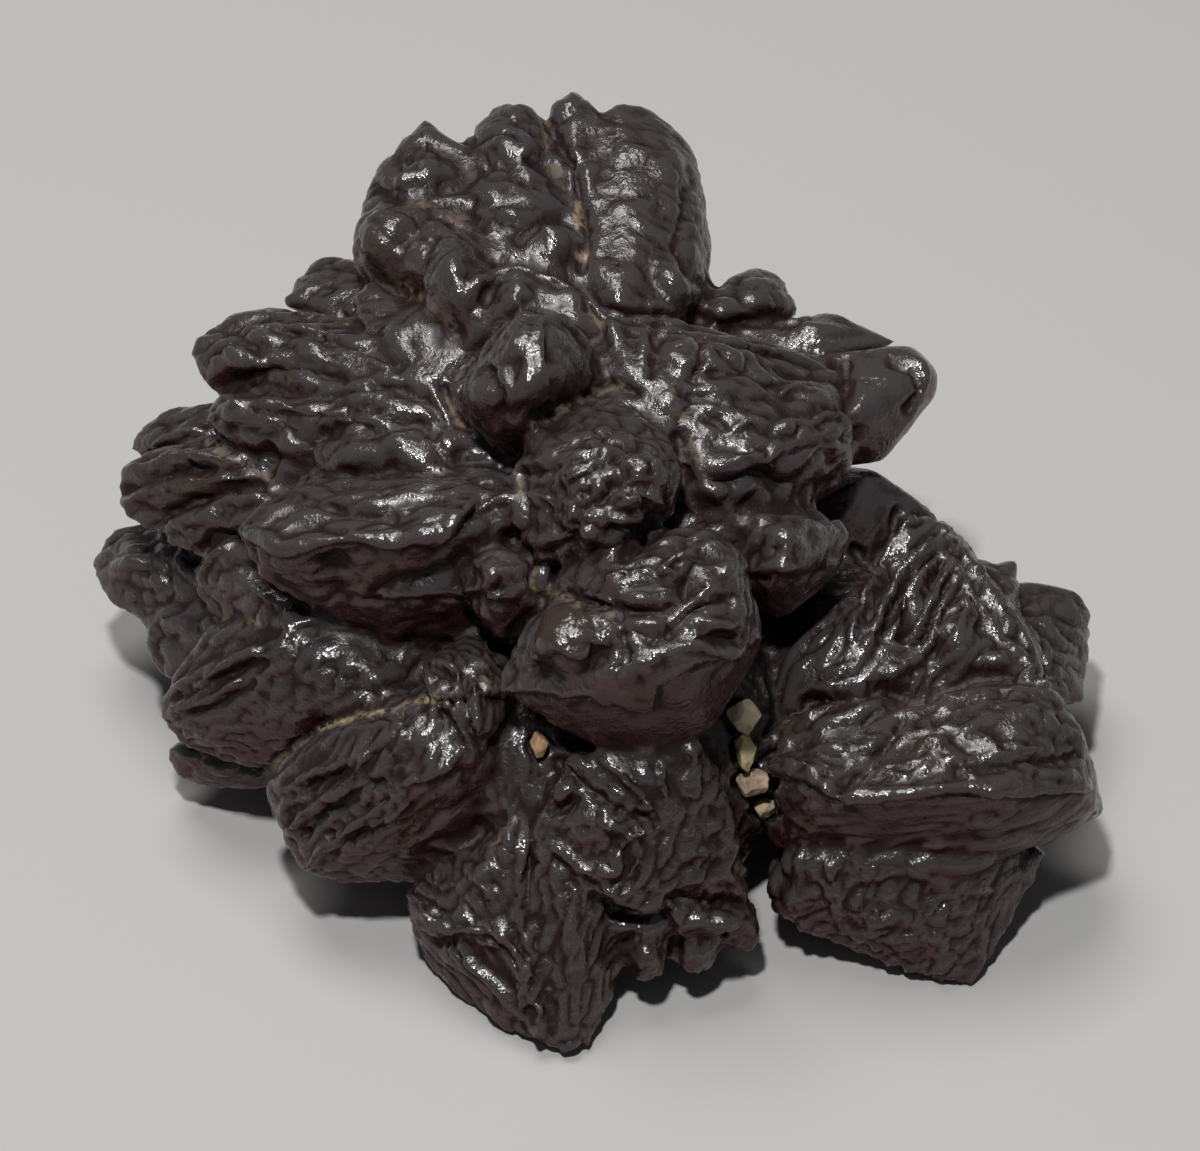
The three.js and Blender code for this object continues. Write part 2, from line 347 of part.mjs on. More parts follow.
// Crests and growth lines on the face: width, rise, and the line that each follows.
const CRESTS = [
  [1.5, 0.6, [[-8.8, 22.4], [-8.6, 19.8], [-8.9, 18.2]]],
  [1.5, 0.6, [[-4.4, 23.2], [-3.9, 20.6], [-3.3, 18.6]]],
  [1.2, 0.5, [[-1.5, 23.6], [-1.2, 20.8], [-1.4, 18]]],
  [1, 0.5, [[-11.6, 18.6], [-8.9, 17.8], [-6.4, 16.4]]],
  [0.9, 0.35, [[0.4, 21.6], [2.4, 21], [4.2, 20.9]]],
  [0.9, 0.35, [[-0.2, 18.4], [2, 17.7], [4.5, 17.8]]],
  [0.9, 0.35, [[-0.4, 16.9], [2, 16.2], [4.6, 16.2]]],
  [1, 0.6, [[-7, 14.2], [-5.6, 15], [-4.2, 15.3], [-2.4, 14.7], [-0.7, 13.8], [0.8, 12.2]]],
  [1.6, 0.6, [[-19.4, 11.4], [-17, 12.3], [-14.4, 12.1], [-11.6, 11.2], [-9, 9.4]]],
  [1.2, 0.5, [[-19.8, 10.2], [-18, 10.6], [-15.8, 10.3], [-13, 9.9], [-9.6, 8.8]]],
  [1.6, 0.7, [[-19, 8.2], [-17.8, 8.5], [-15.6, 8.2], [-13, 7.9], [-10, 7.4]]],
  [1.2, 0.5, [[-18.8, 6.9], [-17, 7], [-15.2, 6.4], [-13, 6]]],
  [1.2, 0.6, [[-23.4, 5], [-21.8, 5.6], [-19.6, 6], [-17.2, 6]]],
  [1, 0.5, [[-23.2, 3.6], [-21.6, 4], [-19.4, 4.4], [-17.4, 4.4]]],
  [1, 0.5, [[-21.3, 2.2], [-19.8, 2.8], [-17.8, 3.6]]],
  [1.2, 0.6, [[-24.7, 0.4], [-23, 0.8], [-21.4, 0.6]]],
  [1.1, 0.6, [[-17.4, 2.5], [-16.4, 1.8], [-15.1, 1.4], [-13.4, 2.2], [-11.3, 1.8], [-9.6, 1.6],
    [-7.9, 2.2], [-6.8, 3.2]]],
  [1.2, 0.4, [[-16.4, 3.2], [-13.8, 3.9], [-11, 4], [-8.4, 4.2]]],
  [1.1, 0.6, [[-21.2, -6.5], [-19.6, -5.4], [-17.6, -4.2], [-15.7, -3.3], [-14.6, -2.8]]],
  [1, 0.4, [[-21, -7.6], [-19.4, -6.6], [-17, -5.2], [-14.8, -4.2], [-12.8, -4]]],
  [1, 0.4, [[-20.6, -4.6], [-19, -3.4], [-17.2, -2.7]]],
  [1, 0.5, [[-16.2, -10.4], [-14.6, -8.8], [-12.4, -7.7], [-10, -7]]],
  [1.1, 0.5, [[-16, -11.8], [-14.2, -10], [-11.8, -8.8], [-9.6, -8]]],
  [1.1, 0.6, [[-15.4, -13.3], [-13.6, -11.6], [-11.4, -10.2], [-9, -9]]],
  [1.1, 0.6, [[-14.4, -14.5], [-13, -13], [-11, -11.4], [-9, -10.2]]],
  [0.8, 0.5, [[-8.2, -4.7], [-8.2, -6.2], [-8.6, -7.4]]],
  [0.8, 0.5, [[-7.2, -4.5], [-7, -6], [-7, -7.6]]],
  [0.8, 0.5, [[-6.1, -4.9], [-5.9, -6.2], [-5.8, -7.6]]],
  [0.9, 0.5, [[-3.2, 12.4], [-2.9, 11], [-3, 9.4]]],
  [1.3, 0.6, [[-1, -0.2], [0.6, 0.3], [2.6, 0.7], [4.6, 0.6], [6.6, 0.6]]],
  [1.2, 0.6, [[0.8, -1.7], [2, -1.4], [3.4, -1.4], [5.4, -1.4], [7.2, -1]]],
  [1.3, 0.7, [[-1.6, -5.2], [0.6, -4.8], [2.6, -4], [4.8, -3.2], [7.4, -2.2]]],
  [1, 0.5, [[1.6, 12.6], [4.2, 12], [6.6, 11.6], [9.4, 11], [12, 10.2]]],
  [1, 0.5, [[2.2, 11], [5, 10.4], [8, 9.8], [11.4, 9.2]]],
  [1.4, 0.6, [[4.8, 5], [7, 5.2], [9.4, 6], [11.6, 6.8], [12.6, 7.4]]],
  [1, 0.5, [[14, 6.2], [15.4, 7.8], [16.3, 9.6], [16.4, 10.6]]],
  [0.8, 0.4, [[10.2, -5.8], [12.6, -2.4], [15.6, 2]]],
  [1, 0.4, [[10.4, -7.6], [13, -7], [16, -6.4], [19, -6], [22, -5.8]]],
  [1, 0.5, [[9.4, -9], [12, -8.6], [15, -8], [18.6, -7.6], [23, -7.6]]],
  [1, 0.4, [[11, -10], [14, -9.6], [17, -9.4], [20.4, -9], [23.8, -9]]],
  [1.1, 0.5, [[8.6, -9.8], [10.2, -10.5], [12.4, -11], [15.7, -11], [20, -10.8], [23.8, -10.7]]],
  [0.9, 0.5, [[11, -15], [10, -16.4], [9.4, -17.4]]],
  [0.9, 0.5, [[13.4, -15], [13.8, -17], [14.2, -18.6]]],
  [0.9, 0.5, [[16.6, -14.8], [18.4, -16.8], [19.2, -18.4]]],
  [1.1, 0.7, [[-9.6, -16.2], [-8.6, -17.1], [-7.2, -17.7], [-5.6, -17.7], [-4.5, -18.8], [-3.6, -20.6],
    [-2.9, -22.3]]],
  [1, 0.5, [[-8.6, -18.6], [-7.2, -19], [-5.8, -20.4], [-4.4, -21.6]]],
  [1.1, 0.6, [[-1.6, -14], [-0.4, -15.2], [0.8, -16], [2, -16.8]]],
  [1, 0.5, [[-2.6, -15], [-1.8, -17], [-1, -19], [-1, -21.6]]],
  [1, 0.6, [[2.6, -15.8], [2, -14.4], [1.6, -12.6]]],
  [1, 0.5, [[4.6, -15.6], [5.2, -13.6], [5, -11]]],
  [1, 0.5, [[6.6, -16.4], [6.4, -14.4], [5.8, -12]]],
];

// Small rounded bumps on the face: where each stands, and its radii.
const BUMPS = [[-9.4, 19.4, 1.2, 0.7], [-2.5, 16.7, 1.2, 0.6], [-4.6, 17.6, 1.1, 0.6],
  [3.6, 14.4, 1.1, 0.6], [-0.6, 5.2, 1.6, 0.9], [2.2, 4.9, 1.5, 0.8], [-0.6, 2.8, 1.4, 0.7],
  [-5.2, -0.6, 1, 0.6], [16.6, -8.7, 1, 0.5], [6.2, -12.6, 1, 0.6], [0.4, -12.2, 1, 0.6]];

// Sand grains caught in the crevices: name, where each shows, radii, and the colour of its mineral.
const GRAINS = {
  cleftGrainTop: { at: [7.1, -7], radii: [0.75, 0.85, 0.65], tint: 0xb5a777 },
  cleftGrainMiddle: { at: [7.1, -8.75], radii: [0.5, 0.6, 0.5], tint: 0xa89b6b },
  cleftGrainRose: { at: [7.6, -10.25], radii: [0.8, 0.65, 0.6], tint: 0xb08c72 },
  cleftGrainLow: { at: [8.15, -11.6], radii: [0.5, 0.5, 0.45], tint: 0x9c7f5c },
  footGrain: { at: [-3.05, -8.5], radii: [0.45, 0.6, 0.45], tint: 0xa8845a },
};

function hiddenCrystal([tip, size]) {
  const end = new THREE.Vector3(...tip);
  const { depth, shift, share: rootShare, size: rootSize } = HIDDEN_ROOT;
  const start = new THREE.Vector3(end.x * rootShare + shift, end.y * rootShare, depth);
  const along = end.clone().sub(start).normalize();
  const side = new THREE.Vector3(0, 1, 0).cross(along).normalize();
  const over = along.clone().cross(side);
  const ring = (share, radius, count) => Array.from({ length: count }, (_, i) => {
    const turn = (i / count) * 2 * Math.PI + stray(0.3);
    const reach = radius * (1 + stray(0.2));
    return start.clone().lerp(end, share + stray(0.04)).addScaledVector(side, Math.cos(turn) * reach)
      .addScaledVector(over, Math.sin(turn) * reach * HIDDEN_FLATNESS);
  });
  const rings = HIDDEN_RINGS.map(([share, width, count]) => ring(share, size * width, count));
  return hull([...rootFacet(start, rootSize), ...rings.flat()]);
}

// Finds where a ray meets the cluster, and which way the facet there looks.
function surfaceOf(manifold) {
  const body = meshOf(manifold, 'surface', new THREE.MeshBasicMaterial({ side: THREE.FrontSide }));
  return (origin, direction) => {
    const hit = new THREE.Raycaster(origin, direction.normalize()).intersectObject(body)[0];
    return hit && { point: hit.point, normal: hit.face.normal.clone() };
  };
}

function seenAt(surface, [x, y]) {
  const eye = new THREE.Vector3(0, 0, EYE);
  return surface(eye, new THREE.Vector3(x, y, 0).sub(eye));
}

// A roof-shaped ridge along a line of points on the surface, lower at its two ends: one flat-faced hull
// for each three points.
function ridge(spots, width, rise) {
  const last = spots.length - 1;
  const frames = spots.map(({ point, normal }, i) => {
    const next = spots[Math.min(i + 1, last)].point;
    const before = spots[Math.max(i - 1, 0)].point;
    const along = next.clone().sub(before).normalize();
    const side = along.clone().cross(normal).normalize();
    const share = i === 0 || i === last ? END_SHARE : 1;
    const base = point.clone().addScaledVector(normal, -rise / 2);
    return [
      point.clone().addScaledVector(normal, rise * share),
      base.clone().addScaledVector(side, (width / 2) * share),
      base.clone().addScaledVector(side, (-width / 2) * share),
    ];
  });
  const made = [];
  for (let i = 0; i < last; i += 2) made.push(hull(frames.slice(i, i + 3).flat(), 0.03));
  return made;
}

function cluster() {
  const crystals = Object.values(CRYSTALS).map(({ root, corners }) => {
    return hull([...rootFacet(new THREE.Vector3(...root)), ...corners.map(placed)]);
  });
  const bodies = [
    ...CORE.map(([centre, radii]) => lump(new THREE.Vector3(...centre), radii)),
    ...crystals,
    ...HIDDEN.map(hiddenCrystal),
    ...KNOBS.map(([centre, radii]) => lump(placed(centre), radii)),
  ];
  return joined(bodies);
}

// Adds the crests, growth lines and bumps to the bare cluster.
function dressed(bare) {
  const surface = surfaceOf(bare);
  const details = [];
  CRESTS.forEach(([width, rise, line]) => {
    const spots = line.map((point) => seenAt(surface, point)).filter(Boolean);
    // A line that drops into a crevice ends at its edge.
    const near = (spot, i) => i === 0 || spot.point.distanceTo(spots[i - 1].point) < REACH;
    const reached = spots.filter(near);
    if (reached.length > 1) details.push(...ridge(reached, width, rise));
  });
  BUMPS.forEach(([x, y, radius, rise]) => {
    const spot = seenAt(surface, [x, y]);
    if (spot) details.push(lump(spot.point, [radius, radius, rise], 0));
  });
  return joined([bare, ...details]);
}

// Leans the face back and sets the stone on the ground.
const settle = new THREE.Matrix4().makeTranslation(0, 0, -GROUND)
  .multiply(new THREE.Matrix4().makeRotationX(THREE.MathUtils.degToRad(90 - LEAN_DEG)));

// The ground as a slab in the face frame: the stone's lowest corners are worn flat where it rests.
function ground() {
  const slab = new THREE.BoxGeometry(120, 120, 60).translate(0, 0, -30);
  return solid(slab.applyMatrix4(settle.clone().invert()));
}

function meshOf(manifold, name, material) {
  const m = manifold.getMesh();
  const geometry = new THREE.BufferGeometry();
  geometry.setAttribute('position', new THREE.BufferAttribute(new Float32Array(m.vertProperties), 3));
  geometry.setIndex(new THREE.BufferAttribute(new Uint32Array(m.triVerts), 1));
  const made = new THREE.Mesh(geometry, material);
  made.name = name;
  return made;
}

let body = dressed(cluster());
const seat = surfaceOf(body);
const grains = Object.entries(GRAINS).map(([name, { at, radii, tint }]) => {
  const { point, normal } = seenAt(seat, at);
  const centre = point.addScaledVector(normal, radii[2] * 0.35);
  const [rx, ry, rz] = radii;
  const pocket = lump(centre, [rx + GRAIN_GAP, ry + GRAIN_GAP, rz + GRAIN_GAP]);
  body = body.subtract(pocket);
  return { name, tint, shape: lump(centre, radii) };
});

const varnish = new THREE.MeshStandardMaterial({
  color: 0x2a2120,
  roughness: 0.32,
  metalness: 0.1,
  flatShading: true,
});
const stone = new THREE.Group();
stone.add(meshOf(body.subtract(ground()), 'stone', varnish));
grains.forEach(({ name, tint, shape }) => {
  const sand = new THREE.MeshStandardMaterial({ color: tint, roughness: 0.85, flatShading: true });
  stone.add(meshOf(shape, name, sand));
});
stone.children.forEach((piece) => piece.geometry.applyMatrix4(settle));

// The stone stands over the middle of its own outline.
const middle = new THREE.Box3().setFromObject(stone).getCenter(new THREE.Vector3());
stone.children.forEach((piece) => piece.geometry.translate(-middle.x, -middle.y, 0));

export default stone;
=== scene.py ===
import math
import random
import bpy
import numpy as np
from mathutils import Matrix, Vector, noise
from mathutils.bvhtree import BVHTree


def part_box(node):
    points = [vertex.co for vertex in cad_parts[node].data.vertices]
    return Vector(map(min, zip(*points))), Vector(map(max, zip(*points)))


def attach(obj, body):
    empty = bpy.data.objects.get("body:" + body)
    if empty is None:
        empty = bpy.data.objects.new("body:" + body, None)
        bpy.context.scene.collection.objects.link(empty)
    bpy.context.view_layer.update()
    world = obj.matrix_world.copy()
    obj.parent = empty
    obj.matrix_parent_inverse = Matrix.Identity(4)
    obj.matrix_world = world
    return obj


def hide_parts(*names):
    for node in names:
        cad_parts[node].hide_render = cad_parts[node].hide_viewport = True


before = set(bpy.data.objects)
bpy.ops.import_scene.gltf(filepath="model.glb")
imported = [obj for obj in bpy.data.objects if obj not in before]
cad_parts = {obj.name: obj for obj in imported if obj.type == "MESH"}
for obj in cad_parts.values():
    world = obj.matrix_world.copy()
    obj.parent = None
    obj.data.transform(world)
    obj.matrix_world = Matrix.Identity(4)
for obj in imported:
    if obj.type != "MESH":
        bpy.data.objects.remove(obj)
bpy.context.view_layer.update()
print("frame loaded")

# The stone's face frame: x across, y up the face, z out of it, in millimetres, leaning back 45 degrees.
eyeDistance = 400
faceCentre = Vector((0.000381, -0.004230, 0.0157))
faceLean = math.radians(45)
faceTurn = Matrix.Rotation(faceLean, 4, "X")
clearance = 0.0006  # in metres: what lies no deeper than this behind the skin still counts as seen


def facePoint(x, y, z):
    return faceCentre + faceTurn @ Vector((x, y, z)) / 1000


def toFace(points):
    turned = (points - np.array(faceCentre)) * 1000
    return turned @ np.array(faceTurn.to_3x3())


def fromFace(face):
    turned = face @ np.array(faceTurn.to_3x3()).T
    return turned / 1000 + np.array(faceCentre)


# Where the eye sees the places on the face's plane.
def seenPlaces(face):
    return face[:, :2] / (1 - face[:, 2:] / eyeDistance)


def deselectAll():
    for o in bpy.context.selected_objects:
        o.select_set(False)


def makeActive(piece):
    deselectAll()
    piece.select_set(True)
    bpy.context.view_layer.objects.active = piece


def applyModifier(piece, kind, **settings):
    makeActive(piece)
    modifier = piece.modifiers.new(kind.title(), kind)
    for key, value in settings.items():
        setattr(modifier, key, value)
    bpy.ops.object.modifier_apply(modifier=modifier.name)


# Reads the vertices' "co" or "normal".
def readVertices(mesh, key):
    values = np.empty(len(mesh.vertices) * 3)
    mesh.vertices.foreach_get(key, values)
    return values.reshape(-1, 3)


def writePoints(mesh, points):
    mesh.vertices.foreach_set("co", points.astype(np.float32).ravel())
    mesh.update()


# Nothing goes below the floor.
def writeGrounded(mesh, points):
    points[:, 2] = np.maximum(points[:, 2], 0)
    writePoints(mesh, points)


def writeValues(mesh, name, values):
    attribute = mesh.attributes.new(name, "FLOAT", "POINT")
    attribute.data.foreach_set("value", values.astype(np.float32))


def treeOf(mesh):
    return BVHTree.FromPolygons([v.co for v in mesh.vertices], [p.vertices for p in mesh.polygons])


def neighbourMean(mesh, values, rounds):
    edges = np.empty(len(mesh.edges) * 2, int)
    mesh.edges.foreach_get("vertices", edges)
    a, b = edges.reshape(-1, 2).T
    n = len(values)
    count = np.bincount(a, minlength=n) + np.bincount(b, minlength=n)
    for _ in range(rounds):
        total = np.zeros_like(values)
        for column in range(values.shape[1]):
            total[:, column] = np.bincount(a, values[b, column], n) + np.bincount(b, values[a, column], n)
        values = 0.5 * values + 0.5 * total / count[:, None]
    return values


# How far each point lies below the mean round it, from -1 on a crest to 1 in a hollow.
def curvature(mesh, rounds, reach):
    points, normals = readVertices(mesh, "co"), readVertices(mesh, "normal")
    smooth = neighbourMean(mesh, points, rounds)
    return np.clip(((smooth - points) * normals).sum(1) * 1000 / reach, -1, 1)


# Where the skin wrinkles: a place on the face, the way the wrinkles run in degrees, their stretch,
# their pitch and their height, in millimetres.
wrinkleZones = [
    [(-8.5, 18.5, -5), -30, 1.7, 1.9, 0.55],
    [(-3.5, 20, -6), -35, 1.7, 1.8, 0.5],
    [(2.5, 18.5, -6), -10, 2.2, 1.3, 0.3],
    [(-3, 13.8, 1.5), -20, 2, 1.5, 0.4],
    [(-7, 15, 0), 70, 1.6, 1.8, 0.3],
    [(-3.8, 10.5, 8), 75, 1.8, 1.5, 0.4],
    [(-15, 11.8, -3), -12, 2.8, 1.6, 0.45],
    [(-14, 7.5, -0.5), -3, 2.8, 1.5, 0.45],
    [(-20, 4.6, -4), 12, 2.8, 1.4, 0.42],
    [(-23, 0, -9), 5, 1.8, 1.6, 0.42],
    [(-17.5, 0, -1), 25, 2.2, 1.4, 0.4],
    [(-10.5, 4, 5), 4, 2.2, 1.7, 0.42],
    [(-11, -1, 4), 12, 2, 1.8, 0.45],
    [(-5, -0.4, 7.4), 60, 1.6, 1.6, 0.45],
    [(-17, -6, -1), 29, 4, 1.2, 0.42],
    [(-11.5, -11, 4), 50, 4, 1.2, 0.45],
    [(-7, -6, 5.6), 85, 3, 1.1, 0.5],
    [(0, 4.5, 11), 30, 1.3, 1.6, 0.55],
    [(3, -1.5, 12), 14, 2, 1.6, 0.5],
    [(2, -7, 9), 5, 1.6, 2.4, 0.2],
    [(7, 9, 2.5), -14, 2.2, 1.4, 0.42],
    [(9.5, 6, 4), 15, 1.8, 1.5, 0.5],
    [(15, 9, -3), -30, 1.8, 2.4, 0.14],
    [(8, 14.5, -8), -30, 1.8, 1.6, 0.4],
    [(9.5, 1, 6), 60, 1.6, 1.6, 0.4],
    [(16, -1.5, -1), 56, 5, 1.1, 0.55],
    [(12, -4, -3), 60, 4, 1.1, 0.55],
    [(16, -8.5, 4.5), 22, 2.2, 1.3, 0.45],
    [(16, -12.8, 2), 8, 2.6, 1.7, 0.4],
    [(14, -17, 0.5), 62, 2.4, 1.05, 0.62],
    [(23, -3, -8), 20, 1.8, 1.6, 0.4],
    [(-6.5, -18.5, 2), -42, 2.6, 1.2, 0.6],
    [(-1.5, -18, 4), 70, 2.6, 1.1, 0.6],
    [(3.5, -13.5, 6), 55, 2, 1.15, 0.6],
]

# The back and the underside, which the photo hides: there the wrinkles run outwards.
hiddenZones = [(-16, 9, -17), (-7, 16, -17), (4, 11, -19), (-12, -5, -18), (8, -3, -18), (-3, 4, -21),
    (17, -4, -15), (-19, 1, -15), (0, -10, -12), (-11, -11, -10), (12, 6, -14), (-10, 10, -19)]
hiddenShape = (2.4, 1.6, 0.42)
heartDepth = 6  # the crystals spread from this far behind the face's middle

wrinkleSettings = {
    "strength": 0.42,
    "pitch": 0.7,
    "warpScale": 0.32,
    "warp": 0.55,
    "broad": 2.1,
    "broadPower": 0.8,
    "fine": 0.75,
    "fineScale": 2.1,
    "level": 0.9,
    "edgeRounds": 12,
    "edgeReach": 0.25,
    "edgeLoss": 0.4,
    "blendPower": 3,
    "aloneFrom": 0.93,
}


def wrinkleTable():
    centres, ways, shapes = [], [], []
    for place, turn, *shape in wrinkleZones:
        centres.append(place)
        ways.append(Vector((math.cos(math.radians(turn)), math.sin(math.radians(turn)), 0)))
        shapes.append(shape)
    for x, y, z in hiddenZones:
        centres.append((x, y, z))
        ways.append(Vector((x, y, z + heartDepth)).normalized())
        shapes.append(hiddenShape)
    return np.array(centres, float), ways, shapes


def wrinkleHeight(point, way, stretch, pitch, height):
    s = wrinkleSettings
    along = point.dot(way)
    p = (point - way * (along * (1 - 1 / stretch))) / (pitch * s["pitch"])
    p = p + noise.noise_vector(point * s["warpScale"]) * s["warp"]
    broad = abs(noise.noise(p))
    fine = abs(noise.noise(p * s["fineScale"] + Vector((7, 3, 1))))  # shifted so that the two don't match
    return height * (s["broad"] * broad ** s["broadPower"] + s["fine"] * fine - s["level"])


# Each point takes the wrinkles of its two nearest zones.
def wrinkle(piece):
    s = wrinkleSettings
    mesh = piece.data
    points, normals = readVertices(mesh, "co"), readVertices(mesh, "normal")
    face = toFace(points)
    centres, ways, shapes = wrinkleTable()
    distance = np.stack([((face - c) ** 2).sum(1) for c in centres], 1)
    keep = 1 + s["edgeLoss"] * np.minimum(curvature(mesh, s["edgeRounds"], s["edgeReach"]), 0)
    nearest = np.argsort(distance, 1)[:, :2]
    heights = np.empty(len(points))
    for i, place in enumerate(face):
        first, second = nearest[i]
        near, far = distance[i, first], distance[i, second]
        share = 1 / (1 + (near / far) ** s["blendPower"])
        p = Vector(place)
        heights[i] = share * wrinkleHeight(p, ways[first], *shapes[first])
        if share < s["aloneFrom"]:
            heights[i] += (1 - share) * wrinkleHeight(p, ways[second], *shapes[second])
    writeGrounded(mesh, points + normals * (heights * keep)[:, None] * s["strength"] / 1000)


# How far the places are from the line, and on which of its sides: 1 on its left, -1 on its right.
def lineDistance(places, line):
    best = np.full(len(places), 1e9)
    side = np.ones(len(places))
    for a, b in zip(line, line[1:]):
        a, b = np.array(a, float), np.array(b, float)
        share = np.clip(((places - a) @ (b - a)) / ((b - a) @ (b - a)), 0, 1)
        distance = np.linalg.norm(places - a - share[:, None] * (b - a), axis=1)
        turn = (b - a)[0] * (places - a)[:, 1] - (b - a)[1] * (places - a)[:, 0]
        nearer = distance < best
        side[nearer] = np.sign(turn[nearer])
        best = np.minimum(best, distance)
    return best, side


# Cream and tan lines of sediment in the crevices, as they appear on the face.
veins = {
    "cream": [
        [(-1.2, 18.6), (-1.1, 17.4), (-0.8, 15.8)],
        [(-16.4, -9.6), (-14.2, -7.7), (-12.2, -7.1), (-9.4, -6.4), (-7.5, -6)],
        [(-17.2, -2.2), (-16.9, -2.2)],
    ],
    "tan": [
        [(-2.8, 23.2), (-2.6, 21), (-1.7, 19.2)],
        [(-19.7, -1.8), (-17.8, -2.4), (-16.7, -2.3)],
        [(0.2, 12.4), (-0.6, 13.2), (-1.6, 13.6)],
        [(9.2, 4.4), (10.2, 4.9), (11.4, 5.3)],
        [(-19.6, 6.8), (-18.8, 6), (-16.4, 4.9)],
        [(-7.6, 8.8), (-7, 7.7), (-5.6, 6.8), (-4.6, 5.9), (-4.1, 4.8), (-3.9, 3.2), (-4, 2.4)],
        [(-3.2, 0.2), (-3.4, -0.8), (-4, -1.6), (-5, -3), (-5.8, -4.2), (-5.6, -5.6), (-4.8, -6.1)],
        [(-3.4, -0.6), (-2, -1), (-0.8, -1.6), (0.6, -1.9)],
        [(3.4, 9.4), (4.4, 7.6), (5, 5.4), (6.2, 3.9), (7.4, 2.4)],
        [(-4.2, -12), (-5.4, -13.6)],
        [(1.2, 9.4), (-0.2, 9.2), (-2, 8.2), (-3.4, 7.6)],
        [(-8.6, 12.4), (-7.4, 11.4), (-7, 9.8)],
        [(-10.4, 14.8), (-9, 14), (-8, 13.2), (-7.4, 12.4)],
        [(-9.4, 18.7), (-8, 18.3), (-6.4, 17.4)],
        [(8.2, -9.6), (8.4, -10.6), (8.8, -11.8)],
    ],
}
veinSettings = {"cream": 0.12, "tan": 0.16, "fullTo": 0.3, "wander": 0.25, "wanderScale": 1.3}


def veinMask(piece, kind):
    mesh = piece.data
    points = readVertices(mesh, "co")
    seen = seenPlaces(toFace(points))
    mask = np.zeros(len(points))
    scale = veinSettings["wanderScale"]
    wander = np.array([noise.noise(Vector((x, y, 0)) * scale) for x, y in seen]) * veinSettings["wander"]
    for line in veins[kind]:
        reach = (lineDistance(seen, line)[0] + wander) / veinSettings[kind]
        mask = np.maximum(mask, np.clip(1 + veinSettings["fullTo"] - reach, 0, 1))
    eye = facePoint(0, 0, eyeDistance)
    tree = treeOf(mesh)
    for i in np.flatnonzero(mask > 0):
        way = Vector(points[i]) - eye
        if tree.ray_cast(eye, way.normalized(), way.length - clearance)[0] is not None:
            mask[i] = 0
    return mask


# The relief as it appears on the face, in millimetres.
# A lump is x, y, its half width and half height, its turn in degrees and its rise.
# A ridge, a furrow or a ledge is its width, its rise or depth, and its line.
# A ledge is high on the line's left.
relief = {}
relief["crown"] = {
    "strength": 0.72,
    "lumps": [
        (-8.5, 20.3, 1.4, 1, 0, 0.35), (-10.9, 16.8, 1.5, 1.8, 0, 0.45), (-8.2, 15.8, 1.5, 2.4, 10, 0.7),
        (-4.2, 21.6, 1.9, 1, 0, 0.35), (-5.6, 19.4, 1, 0.9, 0, 0.25), (-3.5, 18.4, 1.5, 1.4, 0, 0.35),
        (-2.1, 16.6, 1.3, 1.3, 0, 0.45), (-5.6, 17.2, 0.9, 1.6, 40, 0.2), (-4.2, 14.6, 1, 1, 0, 0.35),
        (-1.4, 13.9, 0.6, 0.9, 20, 0.25), (0.3, 15, 0.8, 1.3, 30, 0.3), (1.5, 14.8, 0.8, 0.9, 0, 0.2),
        (3.6, 14.8, 0.9, 1.7, 35, 0.4), (5, 16.8, 0.5, 2.4, 0, 0.3), (-10.4, 19.7, 1.2, 0.8, -30, 0.2),
        (-8.7, 22.2, 1.6, 0.8, 0, 0.2), (-4.3, 23.1, 1.2, 0.6, 0, 0.2), (-1.4, 23.6, 1.2, 0.6, 0, 0.2),
        (-0.6, 20, 0.6, 1.1, -20, 0.25), (-6.2, 14.6, 0.5, 1.3, -15, 0.3),
    ],
    "furrows": [
        (0.45, 0.35, [(-11.4, 19.2), (-9.5, 19.3), (-8, 19.2), (-7, 19.5), (-6, 20.2), (-4.8, 20.6),
            (-3.5, 20.8), (-2.5, 20.2), (-1.7, 19.3), (-1, 18.5), (-0.6, 17.8)]),
        (0.3, 0.2, [(-9.5, 20.8), (-8.6, 21.3), (-7.7, 20.9)]),
        (0.4, 0.3, [(-10.5, 18.9), (-9, 18.8), (-7.6, 18.7), (-6, 17.9), (-4.6, 17.2), (-4.1, 16.6)]),
        (0.4, 0.35, [(-9.1, 17.5), (-8.2, 17.9), (-7.2, 17.4), (-6, 16.3), (-5, 15.5)]),
        (0.4, 0.3, [(-7.2, 18.4), (-6, 17.4), (-5.2, 16.6)]),
        (0.3, 0.7, [(-3, 23.4), (-2.3, 22.2), (-1.9, 21.3), (-1.2, 20.4), (-1, 19.2), (-0.8, 18.3),
            (-0.6, 17.4), (-0.7, 16.4), (-0.9, 15.3)]),
        (0.4, 0.35, [(4.3, 19.5), (4.2, 18), (3.8, 16.6), (4.3, 15.3), (4.8, 14.6)]),
        (0.45, 0.45, [(-5.7, 13.8), (-5.1, 15.1), (-4.6, 15.6), (-4, 15.7), (-3, 15.3), (-2.2, 14.7),
            (-1.5, 14.7), (-0.9, 14.3), (-0.4, 13.3), (0.1, 12.2)]),
        (0.35, 0.3, [(-3.9, 16.8), (-2.8, 17.8), (-1.7, 17.7), (-1, 17.1)]),
    ],
}
